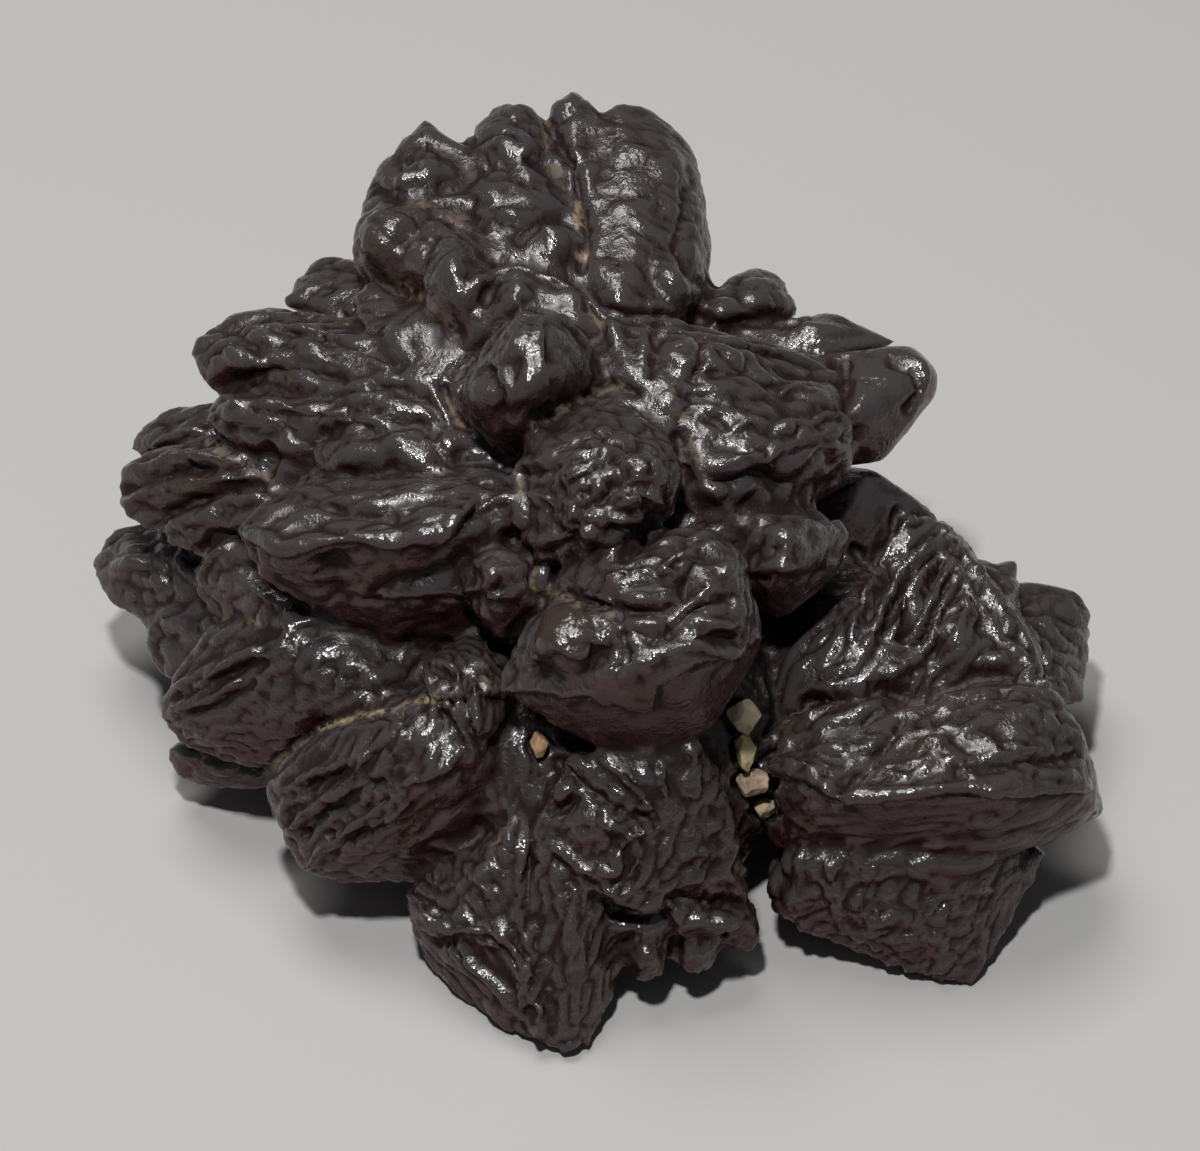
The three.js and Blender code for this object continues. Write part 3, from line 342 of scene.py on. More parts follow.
relief["standing"] = {
    "lumps": [
        (-3.8, 11.8, 0.9, 1.1, 0, 0.3), (-3.5, 9.8, 0.7, 1.8, 0, 0.35), (-6, 8.9, 1, 1.2, 0, 0.45),
        (-4.6, 9.4, 0.6, 1.4, 15, 0.25), (-1.4, 10.6, 1, 1.9, 0, 0.2),
    ],
    "ridges": [
        (0.3, 0.35, [(-3.1, 12.8), (-3, 11.5), (-2.95, 10.2), (-2.7, 8.9)]),
    ],
    "furrows": [
        (0.5, 0.5, [(-7.3, 10.1), (-6, 11.4), (-5, 12.8), (-4.4, 13.4), (-3.6, 13.6), (-2.8, 13.4),
            (-1.6, 12.7), (-0.6, 11.7)]),
        (0.3, 0.5, [(-2.75, 12.6), (-2.45, 11), (-2.35, 9.6), (-2.6, 8.3)]),
        (0.3, 0.3, [(-5.6, 10.3), (-4.9, 9.2), (-4.9, 8)]),
        (0.35, 0.55, [(-7.9, 9.5), (-7.5, 8.4), (-7.1, 7.7), (-6.3, 7.3), (-5.6, 6.8), (-5.1, 6.2),
            (-4.6, 5.9), (-4.2, 5.2), (-3.95, 4.2), (-3.85, 3.2), (-3.95, 2.4), (-4.5, 1.9)]),
        (0.35, 0.4, [(1.8, 9.2), (0.6, 9.6), (-0.4, 9), (-2, 8.5), (-3.2, 8)]),
    ],
}
relief["leftShoulder"] = {
    "lumps": [
        (-18, 10.7, 1.3, 0.6, -10, 0.35), (-16.9, 12, 0.9, 0.5, 0, 0.2), (-14.5, 11.5, 1, 0.6, -20, 0.25),
        (-14, 10.8, 0.6, 0.4, 0, 0.15), (-12, 13.2, 1.2, 0.9, -20, 0.25), (-10.2, 12, 0.7, 0.8, 0, 0.25),
        (-14.5, 9.4, 1.4, 0.7, -10, 0.25), (-12.2, 9.3, 1.2, 0.6, -10, 0.2), (-12.2, 8.6, 1.3, 0.5, 0, 0.2),
        (-10.4, 8.5, 1.1, 0.6, -10, 0.25), (-18.2, 8.2, 1.3, 0.8, -30, 0.3), (-16.7, 7.6, 0.6, 0.6, 0, 0.25),
        (-16.3, 8.9, 0.7, 0.4, -45, 0.2), (-15.4, 6.5, 0.8, 0.8, 0, 0.25), (-17.6, 6.8, 1.1, 0.6, -10, 0.2),
        (-12.5, 6.1, 2, 1, 0, 0.4), (-10, 6.4, 0.9, 0.9, 0, 0.3), (-7.2, 6.6, 1.4, 0.6, -10, 0.2),
        (-9, 4.3, 1.6, 0.5, -5, 0.15),
    ],
    "ridges": [
        (0.25, 0.25, [(-18.6, 11.1), (-17.9, 11.1), (-17.3, 10.8)]),
        (0.25, 0.25, [(-19.6, 8.2), (-19.1, 7.5), (-18.5, 7)]), (0.2, 0.2, [(-18.9, 8.9), (-18, 8.6)]),
        (0.2, 0.2, [(-17.3, 9.2), (-16.6, 8.6)]), (0.2, 0.2, [(-16.4, 9.2), (-15.7, 8.5)]),
    ],
    "furrows": [
        (0.4, 0.35, [(-18.6, 12.1), (-17, 12.6), (-15.5, 12.3), (-14, 12), (-12.6, 11.5), (-11.2, 11.2),
            (-10, 10.6)]),
        (0.4, 0.3, [(-15.2, 13.2), (-14, 12.8), (-12.8, 12.9), (-12.2, 12.4)]),
        (0.45, 0.5, [(-19.6, 9), (-18.8, 9.5), (-17.5, 9.8), (-16.5, 10.3), (-15.2, 10.5), (-14.2, 10.2),
            (-13, 9.9)]),
        (0.35, 0.35, [(-11.2, 9.6), (-9.8, 9.2), (-8.8, 8.9), (-8.1, 8.2), (-7.9, 7.7)]),
        (0.3, 0.25, [(-16, 8.1), (-14.5, 8), (-12.5, 8)]),
        (0.4, 0.4, [(-14.8, 5.4), (-14.5, 6.5), (-13.6, 7.2), (-12.2, 7.8), (-11.3, 7.1), (-10.3, 7.6),
            (-9.2, 7.7), (-8.3, 7.1), (-8, 6.3)]),
        (0.4, 0.6, [(-16.1, 4.2), (-15.6, 4.9), (-15.2, 5.4)]),
        (0.3, 0.35, [(-16.7, 6.5), (-16.3, 5.9), (-16.6, 5.2)]),
        (0.35, 0.3, [(-14.6, 4.9), (-12, 5), (-10.5, 5.3), (-8.5, 5.2), (-7, 5.1), (-5.8, 4.7), (-4.6, 4.5)]),
        (0.3, 0.25, [(-8.5, 5.7), (-6.8, 5.8), (-5.4, 5.7)]),
        (0.3, 0.35, [(-12.6, 4.5), (-11.7, 4.4), (-11, 4.2)]),
    ],
}
relief["leftFan"] = {
    "lumps": [
        (-18.9, 0.9, 0.9, 0.6, 40, 0.25), (-18.2, -0.5, 1, 0.9, 0, 0.2), (-22.2, -0.3, 0.6, 0.5, 0, 0.3),
        (-23.6, 0.6, 1, 1.2, 0, 0.3), (-21.4, -2.2, 1, 0.8, 0, 0.25), (-16.6, -1, 1.2, 0.4, -30, 0.25),
        (-18.6, -2.9, 1.6, 0.5, 10, 0.2),
    ],
    "ridges": [
        (0.3, 0.35, [(-22.9, 6.1), (-21.5, 6.9), (-20, 7.2)]),
        (0.35, 0.35, [(-24, 5.1), (-22, 5.8), (-20.5, 6), (-18, 5.7)]),
        (0.35, 0.3, [(-23.8, 3.6), (-22.5, 4.3), (-21, 4.8), (-19.5, 4.7), (-17.6, 4.9)]),
        (0.35, 0.35, [(-21.9, 2.3), (-21, 2.7), (-19.8, 3.1), (-18.5, 3.7), (-17, 3.9)]),
        (0.2, 0.3, [(-21.9, 2.1), (-21.3, 1.6)]), (0.2, 0.3, [(-21.1, 2.5), (-20.5, 2.1)]),
        (0.22, 0.35, [(-19.9, 0.2), (-19.3, 0.9), (-18.7, 1.5)]),
    ],
    "furrows": [
        (0.3, 0.35, [(-22.8, 5.7), (-21.5, 6.5), (-20, 6.7)]),
        (0.35, 0.4, [(-24.1, 4.2), (-22, 4.9), (-20.5, 5.4), (-19.5, 5.4)]),
        (0.35, 0.45, [(-22.2, 2.5), (-21.3, 3.2), (-20, 3.8), (-18.5, 4.2), (-17, 4.4)]),
        (0.35, 0.45, [(-20.4, 0.8), (-19.4, 1.9), (-18.2, 2.1)]),
        (0.4, 0.2, [(-23.2, 2.4), (-22, 0.9), (-20.6, -0.4), (-19.2, -1.7)]),
    ],
}
relief["leftWedge"] = {
    "lumps": [
        (-8.3, 2.6, 1.6, 0.9, 0, 0.2), (-11.4, 3.6, 1, 0.4, 0, 0.15), (-14.6, 3.1, 1.2, 0.4, -10, 0.15),
        (-5.8, 1.9, 1.3, 0.6, 45, 0.15), (-5.2, 0.5, 1.5, 1, 0, 0.45),
    ],
    "ridges": [
        (0.2, 0.35, [(-6.1, 3.3), (-5.4, 3.7), (-4.6, 3.9)]),
        (0.2, 0.25, [(-6, 0.7), (-5.6, 0.1), (-5.2, -0.4)]), (0.2, 0.2, [(-5.2, -0.15), (-4.6, 0)]),
    ],
    "furrows": [
        (0.35, 0.35, [(-18, 2.3), (-16.9, 2.7), (-15.6, 3.4), (-14.6, 3.7), (-13.6, 3.4), (-12.6, 3.1),
            (-11.5, 3), (-10.4, 2.9)]),
        (0.3, 0.3, [(-17.6, 2.7), (-15.8, 3.5), (-14.2, 4), (-12.6, 4.5)]),
        (0.3, 0.25, [(-16.6, 2.5), (-15.8, 2), (-14.8, 2.4), (-13.6, 2.2), (-12.8, 2.1)]),
        (0.25, 0.2, [(-9.6, 3), (-8.8, 3.5), (-7.8, 3.6), (-7, 3.4)]),
        (0.5, 0.5, [(-17.6, 0.4), (-16, -0.8), (-15, -1.6)]),
        (0.4, 0.5, [(-11.2, -0.9), (-10.3, -0.4), (-8.8, -0.2), (-7.6, 0.3), (-6.8, 0.8)]),
        (0.35, 0.5, [(-4.4, 1.7), (-3.8, 1.2), (-3.4, 0.4), (-3.2, -0.6), (-3.1, -1.5), (-3.5, -2.1),
            (-4.3, -2.8), (-5.2, -3.5)]),
    ],
    "ledges": [
        (0.8, 0.45, [(-17.8, 1.9), (-16.9, 1.5), (-16, 0.9), (-15.2, 1), (-14, 1.4), (-12.6, 1.7),
            (-11.6, 1.6), (-10.7, 1.35), (-10, 1.3), (-9.1, 1.6), (-8.2, 1.5), (-7.4, 1.9), (-6.9, 2.8),
            (-6.4, 3.3)]),
        (0.6, 0.35, [(-10.6, -1.1), (-9, -1), (-7.5, -0.9), (-6.8, -1)]),
        (0.6, 0.35, [(-6.6, -0.9), (-5.6, -0.7), (-4.9, -0.3), (-4, -0.1), (-3.5, 0.3)]),
    ],
}
relief["boss"] = {
    "lumps": [
        (1.8, 5.2, 0.8, 0.5, 10, 0.3), (0.5, 5, 0.4, 0.4, 0, 0.2), (1.4, 3.7, 0.8, 0.6, 0, 0.25),
        (2.7, 3.5, 0.6, 0.7, 0, 0.25), (-0.2, 4.4, 0.5, 0.4, 0, 0.25), (-1.4, 3.6, 0.5, 0.8, 20, 0.3),
        (-2.9, 3.9, 0.7, 0.5, -10, 0.3), (-3, 3, 0.7, 0.6, 0, 0.2), (1, 2.8, 1, 0.4, -10, 0.2),
        (0.7, 6.5, 1.6, 0.6, 0, 0.2), (-1.6, 6.9, 1.6, 0.6, 25, 0.2), (-3.1, 6.9, 0.8, 0.9, 40, 0.2),
        (-2.8, 1.9, 1.2, 0.6, 0, 0.25), (-0.4, 1.8, 0.9, 0.7, 0, 0.2), (0.8, 1.5, 0.8, 0.5, -20, 0.15),
    ],
    "ridges": [
        (0.18, 0.3, [(1.2, 5.5), (2.2, 5.7), (2.3, 5.3)]), (0.16, 0.25, [(1.2, 4.6), (1.9, 4.8), (2.6, 4.9)]),
        (0.18, 0.3, [(0.9, 4.1), (1.5, 3.8), (2.1, 4.1), (3, 3.8), (3.2, 3.2)]),
        (0.16, 0.25, [(1.2, 2.9), (1.9, 2.85), (1.95, 3.8)]), (0.18, 0.3, [(-1.2, 4.3), (-0.9, 3.7)]),
        (0.18, 0.25, [(-3.3, 4), (-2.6, 4), (-2.3, 3.6)]),
        (0.16, 0.2, [(-2.3, 4.4), (-1.6, 4.8), (-0.6, 5.3)]),
    ],
    "furrows": [
        (0.3, 0.35, [(-4.1, 5.2), (-2.6, 5.3), (-1.4, 5.8), (-0.2, 6.2), (0.3, 7)]),
        (0.35, 0.4, [(-0.8, 3.2), (0.1, 3.7), (0.6, 4.3)]),
        (0.3, 0.3, [(-1.9, 2.4), (-0.9, 2.7), (0.2, 2.2), (1.4, 2.2), (2.6, 2.1)]),
        (0.35, 0.4, [(-2.5, 1.1), (-1.7, 1.5), (-1.3, 2.3)]),
        (0.5, 0.6, [(4, 7), (4.2, 6), (4, 4.6), (3.5, 3.2), (2.6, 2.3)]),
    ],
}
relief["front"] = {
    "lumps": [
        (5.6, 1.9, 1.4, 0.6, -5, 0.2), (3.4, 1.6, 0.9, 0.5, 10, 0.25), (2, -0.2, 1.9, 0.45, 8, 0.25),
        (3.5, 0.1, 0.6, 0.4, 0, 0.25), (1.8, -1, 1.4, 0.4, -10, 0.2), (5.3, -0.5, 0.8, 0.7, 40, 0.3),
        (6.3, 0.3, 0.4, 0.5, 0, 0.2), (2.2, -2.4, 1.4, 0.5, 10, 0.2), (6, -2.4, 1.3, 0.35, 0, 0.3),
        (7.3, -2.1, 0.5, 0.6, 0, 0.2), (5.9, -3.5, 1.2, 0.3, 0, 0.25), (-1.1, -3, 2.7, 2, 0, 0.65),
        (-0.5, -1, 0.7, 0.3, -15, 0.15), (2, -4.6, 1.1, 1.1, 0, 0.25), (1.2, -5.6, 1.2, 0.8, -20, 0.25),
        (-1.6, -6.1, 0.7, 0.5, 0, 0.25),
    ],
    "ridges": [
        (0.2, 0.3, [(0.4, -0.1), (1, 0.2), (1.9, 0.1), (2.5, 0.3)]),
        (0.2, 0.35, [(3.1, 0.3), (3.7, 0.8), (4.4, 1.1)]), (0.22, 0.35, [(3.2, 0.2), (4, 0), (3.4, -0.3)]),
        (0.2, 0.3, [(4.7, 1.3), (5.6, 1.4), (6.5, 1.3)]),
        (0.18, 0.25, [(-0.9, -0.9), (0, -1.1), (0.5, -1.4)]), (0.18, 0.25, [(2.8, -0.95), (3.4, -0.95)]),
        (0.2, 0.3, [(4.9, -1.1), (5.4, -0.8), (5.2, -0.5)]),
        (0.22, 0.35, [(5, -2.4), (5.8, -2.6), (6.5, -2.7)]), (0.22, 0.35, [(5.2, -3.6), (6.8, -3.6)]),
        (0.2, 0.3, [(-1.9, -3.4), (-1.4, -3.8), (-0.6, -3.8)]),
    ],
    "furrows": [
        (0.35, 0.45, [(0.8, -1.6), (2, -1.9), (3.2, -1.9), (4.2, -1.2), (4.4, -0.2), (4.9, 0.8), (6.2, 1)]),
        (0.35, 0.45, [(2.6, -3.2), (3.6, -2.7), (4.6, -1.9), (5.8, -1.3), (6.8, -1)]),
        (0.3, 0.3, [(3.4, -3.1), (4.6, -3.2), (5.6, -3.1), (6.9, -3)]),
        (0.35, 0.5, [(-2, -0.8), (-1.1, -0.9), (0.1, -1.5), (0.9, -2), (1.1, -3), (1.3, -4.2), (0.9, -4.6)]),
        (0.4, 0.5, [(1.2, 1), (2.6, 2.2), (3.4, 2.9), (4.2, 3.1)]),
        (0.35, 0.4, [(-1.3, 1.8), (-1.6, 0.8), (-2.2, 0.2), (-2.5, -0.5), (-2.9, -1.5)]),
    ],
    "ledges": [
        (0.6, 0.35, [(-3, -4.2), (-1.9, -3.5), (-1.2, -3.9), (-0.4, -3.9), (0.3, -3.6)]),
        (0.8, 0.5, [(-5, -5.9), (-3.5, -5.8), (-2, -5.9), (-0.4, -5.9), (0.1, -6.4), (1, -6.3), (1.7, -6.8),
            (2.7, -6.6), (2.9, -5.4), (3.6, -5), (4.6, -4.5), (5.8, -4.1), (7, -3.7), (8, -3.2)]),
    ],
}
relief["spear"] = {
    "lumps": [
        (10.8, 8.7, 1.6, 1.1, -10, 0.3), (9.5, 7.3, 0.5, 0.4, 30, 0.2), (11.6, 7.4, 0.6, 0.4, 0, 0.15),
        (7.6, 6.6, 0.8, 0.7, 30, 0.25), (6, 9.5, 1.2, 0.5, 10, 0.25), (7.6, 9.3, 0.9, 0.4, -20, 0.2),
        (5.6, 8.6, 1.4, 0.6, 25, 0.2), (3.6, 8.8, 0.9, 0.8, 0, 0.2), (4, 11.2, 1, 0.9, 0, 0.35),
        (2.2, 11.3, 0.4, 1.3, 0, 0.25), (0.6, 12.3, 0.6, 0.9, 30, 0.3), (7, 11, 0.9, 0.4, 0, 0.15),
        (9, 10.6, 0.8, 0.4, -15, 0.15), (11.5, 10.3, 0.8, 0.4, -20, 0.15), (6.1, 13.2, 1.2, 0.7, 0, 0.3),
        (8.3, 14.2, 1.5, 1, -20, 0.3), (11.2, 12.4, 1.6, 0.4, -5, 0.2), (16.4, 10.4, 0.6, 0.9, 20, 0.25),
        (9.2, 2.1, 1.2, 0.8, 0, 0.3), (8.4, 1.3, 0.4, 0.4, 0, 0.2), (9, 0.5, 1, 0.3, 0, 0.2),
        (11.6, 0.6, 0.8, 0.4, -20, 0.15),
    ],
    "ridges": [
        (0.2, 0.3, [(9, 7.1), (9.4, 7.7), (9.9, 7.7), (10.4, 7.5), (11, 7.8), (11.9, 7.9), (12.2, 7.5)]),
        (0.2, 0.25, [(9.1, 9.1), (9.4, 9.4), (9.9, 9.6)]), (0.2, 0.2, [(6.9, 5.7), (8, 5.9)]),
        (0.2, 0.2, [(6.8, 7.3), (7.4, 7.8), (8, 7.7)]), (0.2, 0.25, [(8, 2.8), (9, 2.9), (10, 2.8)]),
        (0.2, 0.2, [(9.3, 1.7), (9.9, 1.7)]),
    ],
    "furrows": [
        (0.45, 0.5, [(3, 12.9), (4.5, 12.5), (6.5, 12), (8.2, 11.4), (9.6, 11), (10.8, 10.6), (12.2, 10.6)]),
        (0.35, 0.35, [(4.8, 10.3), (6, 10.2), (7.4, 10.2), (8.4, 9.6), (9.6, 9.9), (10.8, 10), (11.6, 9.9),
            (12.3, 9.5)]),
        (0.4, 0.5, [(12.4, 10.6), (12.4, 9.2), (12.5, 8.2), (12.9, 7.1)]),
        (0.3, 0.3, [(3.9, 9.2), (4.6, 8.9), (6, 8.6)]), (0.3, 0.3, [(4.1, 8.2), (5, 8.3), (6.2, 7.4)]),
        (0.4, 0.4, [(4.6, 13), (6.5, 12.7), (8.6, 12.8), (9.8, 12.8)]),
        (0.3, 0.3, [(2.7, 12.6), (2.9, 11), (2.6, 10)]), (0.3, 0.3, [(5, 12), (5.1, 10.8), (4.6, 10)]),
        (0.4, 0.4, [(14.6, 10.7), (15.8, 10.2), (16.2, 9.2), (15.4, 8.3)]),
        (0.4, 0.4, [(0, 13.2), (1.2, 12.9), (3, 12.8)]),
        (0.4, 0.5, [(5.2, 5), (6.4, 4.6), (7.6, 4.9), (9, 4.6)]),
    ],
    "ledges": [
        (0.7, 0.4, [(5.8, 5), (7.4, 5.6), (8.4, 5.5), (9, 6.1), (10.2, 6.6), (11.4, 6.9), (12.3, 7.2)]),
        (0.5, 0.3, [(8, 0.1), (9.2, 0.1), (10.3, 0.3)]),
    ],
}
relief["rightFan"] = {
    "lumps": [
        (18, -3, 0.9, 1.7, -10, 0.4), (15, -4.6, 1.1, 0.5, 25, 0.35), (19.9, -4.2, 1, 0.6, 10, 0.25),
        (20, -0.4, 0.9, 1.1, 0, 0.25), (12, -4.7, 1.2, 0.4, 10, 0.25), (18.2, -1.6, 0.4, 0.6, 0, 0.2),
        (11.6, -8.7, 1.3, 0.5, 0, 0.25), (13.7, -8.5, 0.8, 0.5, 20, 0.25), (17.4, -6.8, 0.9, 0.5, 20, 0.25),
        (21.2, -6.8, 1.2, 0.6, -10, 0.25), (22.6, -7.6, 1.2, 0.5, -25, 0.2),
        (19.3, -8.6, 1.1, 0.7, -25, 0.25), (17.6, -8.9, 0.7, 0.5, 0, 0.2), (11.4, -7.3, 1, 0.4, 15, 0.25),
        (9.1, -7.4, 0.8, 0.4, 50, 0.25), (10.5, -6.9, 0.4, 0.5, 0, 0.2), (16.3, -9.5, 1.6, 1.1, 0, 0.2),
        (20.4, -10.2, 1.4, 0.6, 0, 0.25), (23, -10, 1.2, 0.4, -5, 0.25), (11, -9.6, 1.3, 0.7, -20, 0.25),
        (19.2, -12.4, 1.2, 0.3, 15, 0.25), (16.9, -13.4, 0.9, 0.4, 0, 0.3), (20.3, -13.4, 2.2, 0.5, 8, 0.25),
        (11.8, -11.7, 0.5, 0.4, 0, 0.25), (10.5, -12.8, 0.5, 0.5, -45, 0.2), (9.8, -16.3, 1.2, 0.9, 0, 0.4),
        (10.2, -17.6, 1.4, 0.5, -20, 0.3), (13.6, -17.6, 0.9, 0.5, 50, 0.3), (14, -15, 1, 0.4, 20, 0.2),
        (16, -14.9, 0.8, 0.4, -20, 0.2), (15.2, -18.4, 0.8, 0.4, 0, 0.2), (17, -15.4, 0.8, 0.4, 0, 0.2),
        (19, -15.8, 0.9, 0.3, 0, 0.2),
    ],
    "ridges": [
        (0.3, 0.45, [(13.2, -1), (14.2, 0.4), (15.1, 2), (15.6, 2.7)]),
        (0.3, 0.4, [(14, -1.6), (15.2, 0.2), (16.2, 1.3), (17.2, 1.8)]),
        (0.3, 0.45, [(14.6, -2.9), (15.4, -1.2), (16.3, 0.2), (16.8, 0.8)]),
        (0.28, 0.45, [(15.7, -3.3), (16.5, -1.4), (17.3, 0.1)]),
        (0.28, 0.35, [(16.4, -3.6), (17, -1.8), (17.7, -0.2)]), (0.25, 0.3, [(13.4, -3.4), (14, -2.2)]),
        (0.25, 0.3, [(12.6, -3.2), (12.8, -2)]), (0.22, 0.3, [(17.6, -1.6), (18.2, -1.3), (18.8, -2.3)]),
        (0.3, 0.3, [(17.6, 0.6), (18.6, -0.9), (19.6, -2.4), (20.8, -3.7), (22, -5)]),
        (0.2, 0.3, [(20.5, -8.5), (21.3, -8.7), (22, -8.7)]), (0.2, 0.3, [(9.4, -9.5), (10.6, -9.9)]),
        (0.2, 0.25, [(14.4, -9.8), (15.4, -10.3)]), (0.2, 0.25, [(18, -9.5), (18.5, -10.2)]),
        (0.2, 0.25, [(19.1, -8), (19.9, -9)]), (0.3, 0.35, [(12, -16), (11.7, -15.2), (11.3, -14.4)]),
        (0.25, 0.3, [(11.2, -15.2), (11.7, -16.4), (12, -17)]),
        (0.2, 0.25, [(21.4, -2.6), (22.2, -3.4), (22.5, -4.8)]),
    ],
    "furrows": [
        (0.3, 0.6, [(13.4, -2), (14.4, -0.2), (15.3, 1), (16.3, 2.1), (17.1, 2.3)]),
        (0.3, 0.6, [(14.2, -2.9), (15, -1), (15.8, 0.4), (16.8, 1.1)]),
        (0.3, 0.6, [(15.2, -3.2), (15.9, -1.8), (17.1, 0.6)]),
        (0.25, 0.5, [(16.2, -3.3), (16.7, -1.8), (17.5, -0.3)]),
        (0.3, 0.5, [(16.6, -3.9), (17, -2.3), (17.9, -0.8)]),
        (0.35, 0.7, [(12.6, 1.3), (13.6, 0.6), (14.4, 2), (15, 3.2)]),
        (0.4, 0.5, [(18.3, 1), (19.2, -1), (20.4, -2.8), (21.5, -3.3), (22, -4.6), (22.4, -5.1)]),
        (0.45, 0.6, [(10, -6.3), (12, -6.2), (14, -5.7), (16, -5.9), (17.5, -5.3), (19, -5), (20.5, -4.9),
            (22, -5.1)]),
        (0.35, 0.6, [(12, -10.8), (13, -9.8), (14, -9), (14.5, -8), (15, -7.2)]),
        (0.35, 0.5, [(8, -9.2), (9.6, -8.4), (11.2, -8.2), (12.8, -7.4), (14.4, -6.4), (16.6, -5.8)]),
        (0.3, 0.5, [(8.5, -7.8), (9.4, -6.9), (10.6, -6.2)]),
        (0.3, 0.4, [(16.8, -7.3), (17.8, -6.6), (19, -6.1), (20.3, -5.8)]),
        (0.3, 0.35, [(20.8, -9.3), (22.4, -9.2), (23.8, -9)]),
    ],
    "ledges": [
        (0.8, 0.45, [(8.3, -10), (9.5, -10), (10.5, -10.3), (11.2, -10.9), (12.4, -11.4), (14, -11.3),
            (15.4, -11.2), (16.4, -11), (18.4, -10.8), (19.3, -11), (21, -11.1), (22.2, -10.9),
            (24.2, -10.8)]),
    ],
}
relief["lowerLeft"] = {
    "lumps": [
        (-15.6, -2.4, 0.8, 0.8, 0, 0.3), (-11.3, -5.2, 0.9, 0.6, 0, 0.3), (-12, -6.2, 0.9, 0.5, 0, 0.2),
        (-10.3, -6, 0.8, 0.5, 0, 0.2), (-12.6, -4.4, 0.6, 0.5, 0, 0.2), (-14.3, -4.7, 0.9, 0.4, 60, 0.2),
        (-13, -5.4, 0.3, 0.7, -10, 0.2), (-8.4, -5, 0.5, 0.5, 0, 0.2), (-7.5, -4.4, 0.7, 0.4, -20, 0.2),
    ],
    "ridges": [
        (0.3, 0.4, [(-21, -5.6), (-20, -5.1), (-18.7, -4.4), (-17.2, -3.8)]),
        (0.25, 0.35, [(-21.3, -6.6), (-20.8, -6.7), (-20, -6.3), (-19.2, -6), (-18.2, -5.3)]),
        (0.25, 0.25, [(-17, -4.1), (-16.3, -3.9), (-15.9, -3.5)]),
        (0.3, 0.45, [(-15.4, -12.8), (-14.8, -12), (-14, -11.3), (-13.2, -11), (-12.6, -10.4), (-12, -9.7),
            (-11.8, -9.1)]),
        (0.25, 0.35, [(-15.5, -10.7), (-14.6, -10.1), (-14, -9.7), (-13.3, -9.6)]),
        (0.25, 0.35, [(-10.9, -9.6), (-10.3, -8.9), (-9.9, -8.3), (-9.8, -7.8)]),
        (0.25, 0.3, [(-14.8, -14.8), (-14.2, -14), (-13.7, -13.4)]),
        (0.25, 0.3, [(-13.2, -12.8), (-12.7, -12.3)]),
        (0.25, 0.3, [(-11.4, -12.6), (-10.4, -12), (-9.6, -11.3)]), (0.25, 0.3, [(-12, -13.4), (-11, -12.8)]),
        (0.25, 0.25, [(-15.4, -11.3), (-14.8, -11.2)]),
        (0.25, 0.3, [(-9.7, -10.4), (-8.5, -10), (-7.4, -9.4), (-7, -8.8)]),
        (0.25, 0.3, [(-15.7, -10.8), (-15.8, -11.6), (-15.8, -12.4)]),
        (0.25, 0.4, [(-8.7, -4.7), (-8.5, -5.8), (-8.6, -6.3)]),
        (0.25, 0.4, [(-7.4, -5.9), (-7.1, -7), (-6.6, -8.3)]),
        (0.25, 0.4, [(-8.4, -4.3), (-7.7, -4.6), (-7, -5)]),
        (0.25, 0.4, [(-6.3, -5.6), (-6.2, -6.6), (-6.1, -7.8)]),
    ],
    "furrows": [
        (0.35, 0.35, [(-21.2, -6), (-20, -5.6), (-18.6, -5), (-17, -4.4)]),
        (0.3, 0.3, [(-20.4, -6.8), (-18.8, -6.4), (-17.4, -5.4)]),
        (0.4, 0.5, [(-22, -7.4), (-21, -8.4), (-19.6, -9), (-18, -9.8), (-17, -10)]),
        (0.35, 0.5, [(-16.9, -9.9), (-15.8, -9.1), (-15, -8.4), (-14, -7.6), (-13, -7.2), (-12, -7),
            (-11, -6.9), (-10, -6.8), (-9.2, -6.6)]),
        (0.3, 0.4, [(-14.8, -13), (-13.8, -11.9), (-12.6, -11.3), (-11.6, -10.4), (-10.9, -10.3)]),
        (0.3, 0.4, [(-13.6, -13), (-12.2, -12), (-10.9, -11.2)]),
        (0.3, 0.3, [(-14.6, -10.6), (-13.4, -10), (-12.6, -9.9)]),
        (0.3, 0.35, [(-13.2, -13.9), (-12.2, -13), (-10.8, -12.6)]),
        (0.3, 0.3, [(-11.2, -9), (-10.6, -8.3), (-10.2, -7.8)]),
        (0.25, 0.5, [(-8.6, -6.4), (-7.6, -6.3), (-6.8, -6.3)]),
        (0.25, 0.5, [(-6.8, -5), (-6.7, -6.4), (-6.5, -7.6)]), (0.25, 0.4, [(-8, -4.8), (-7.2, -5.1)]),
    ],
}
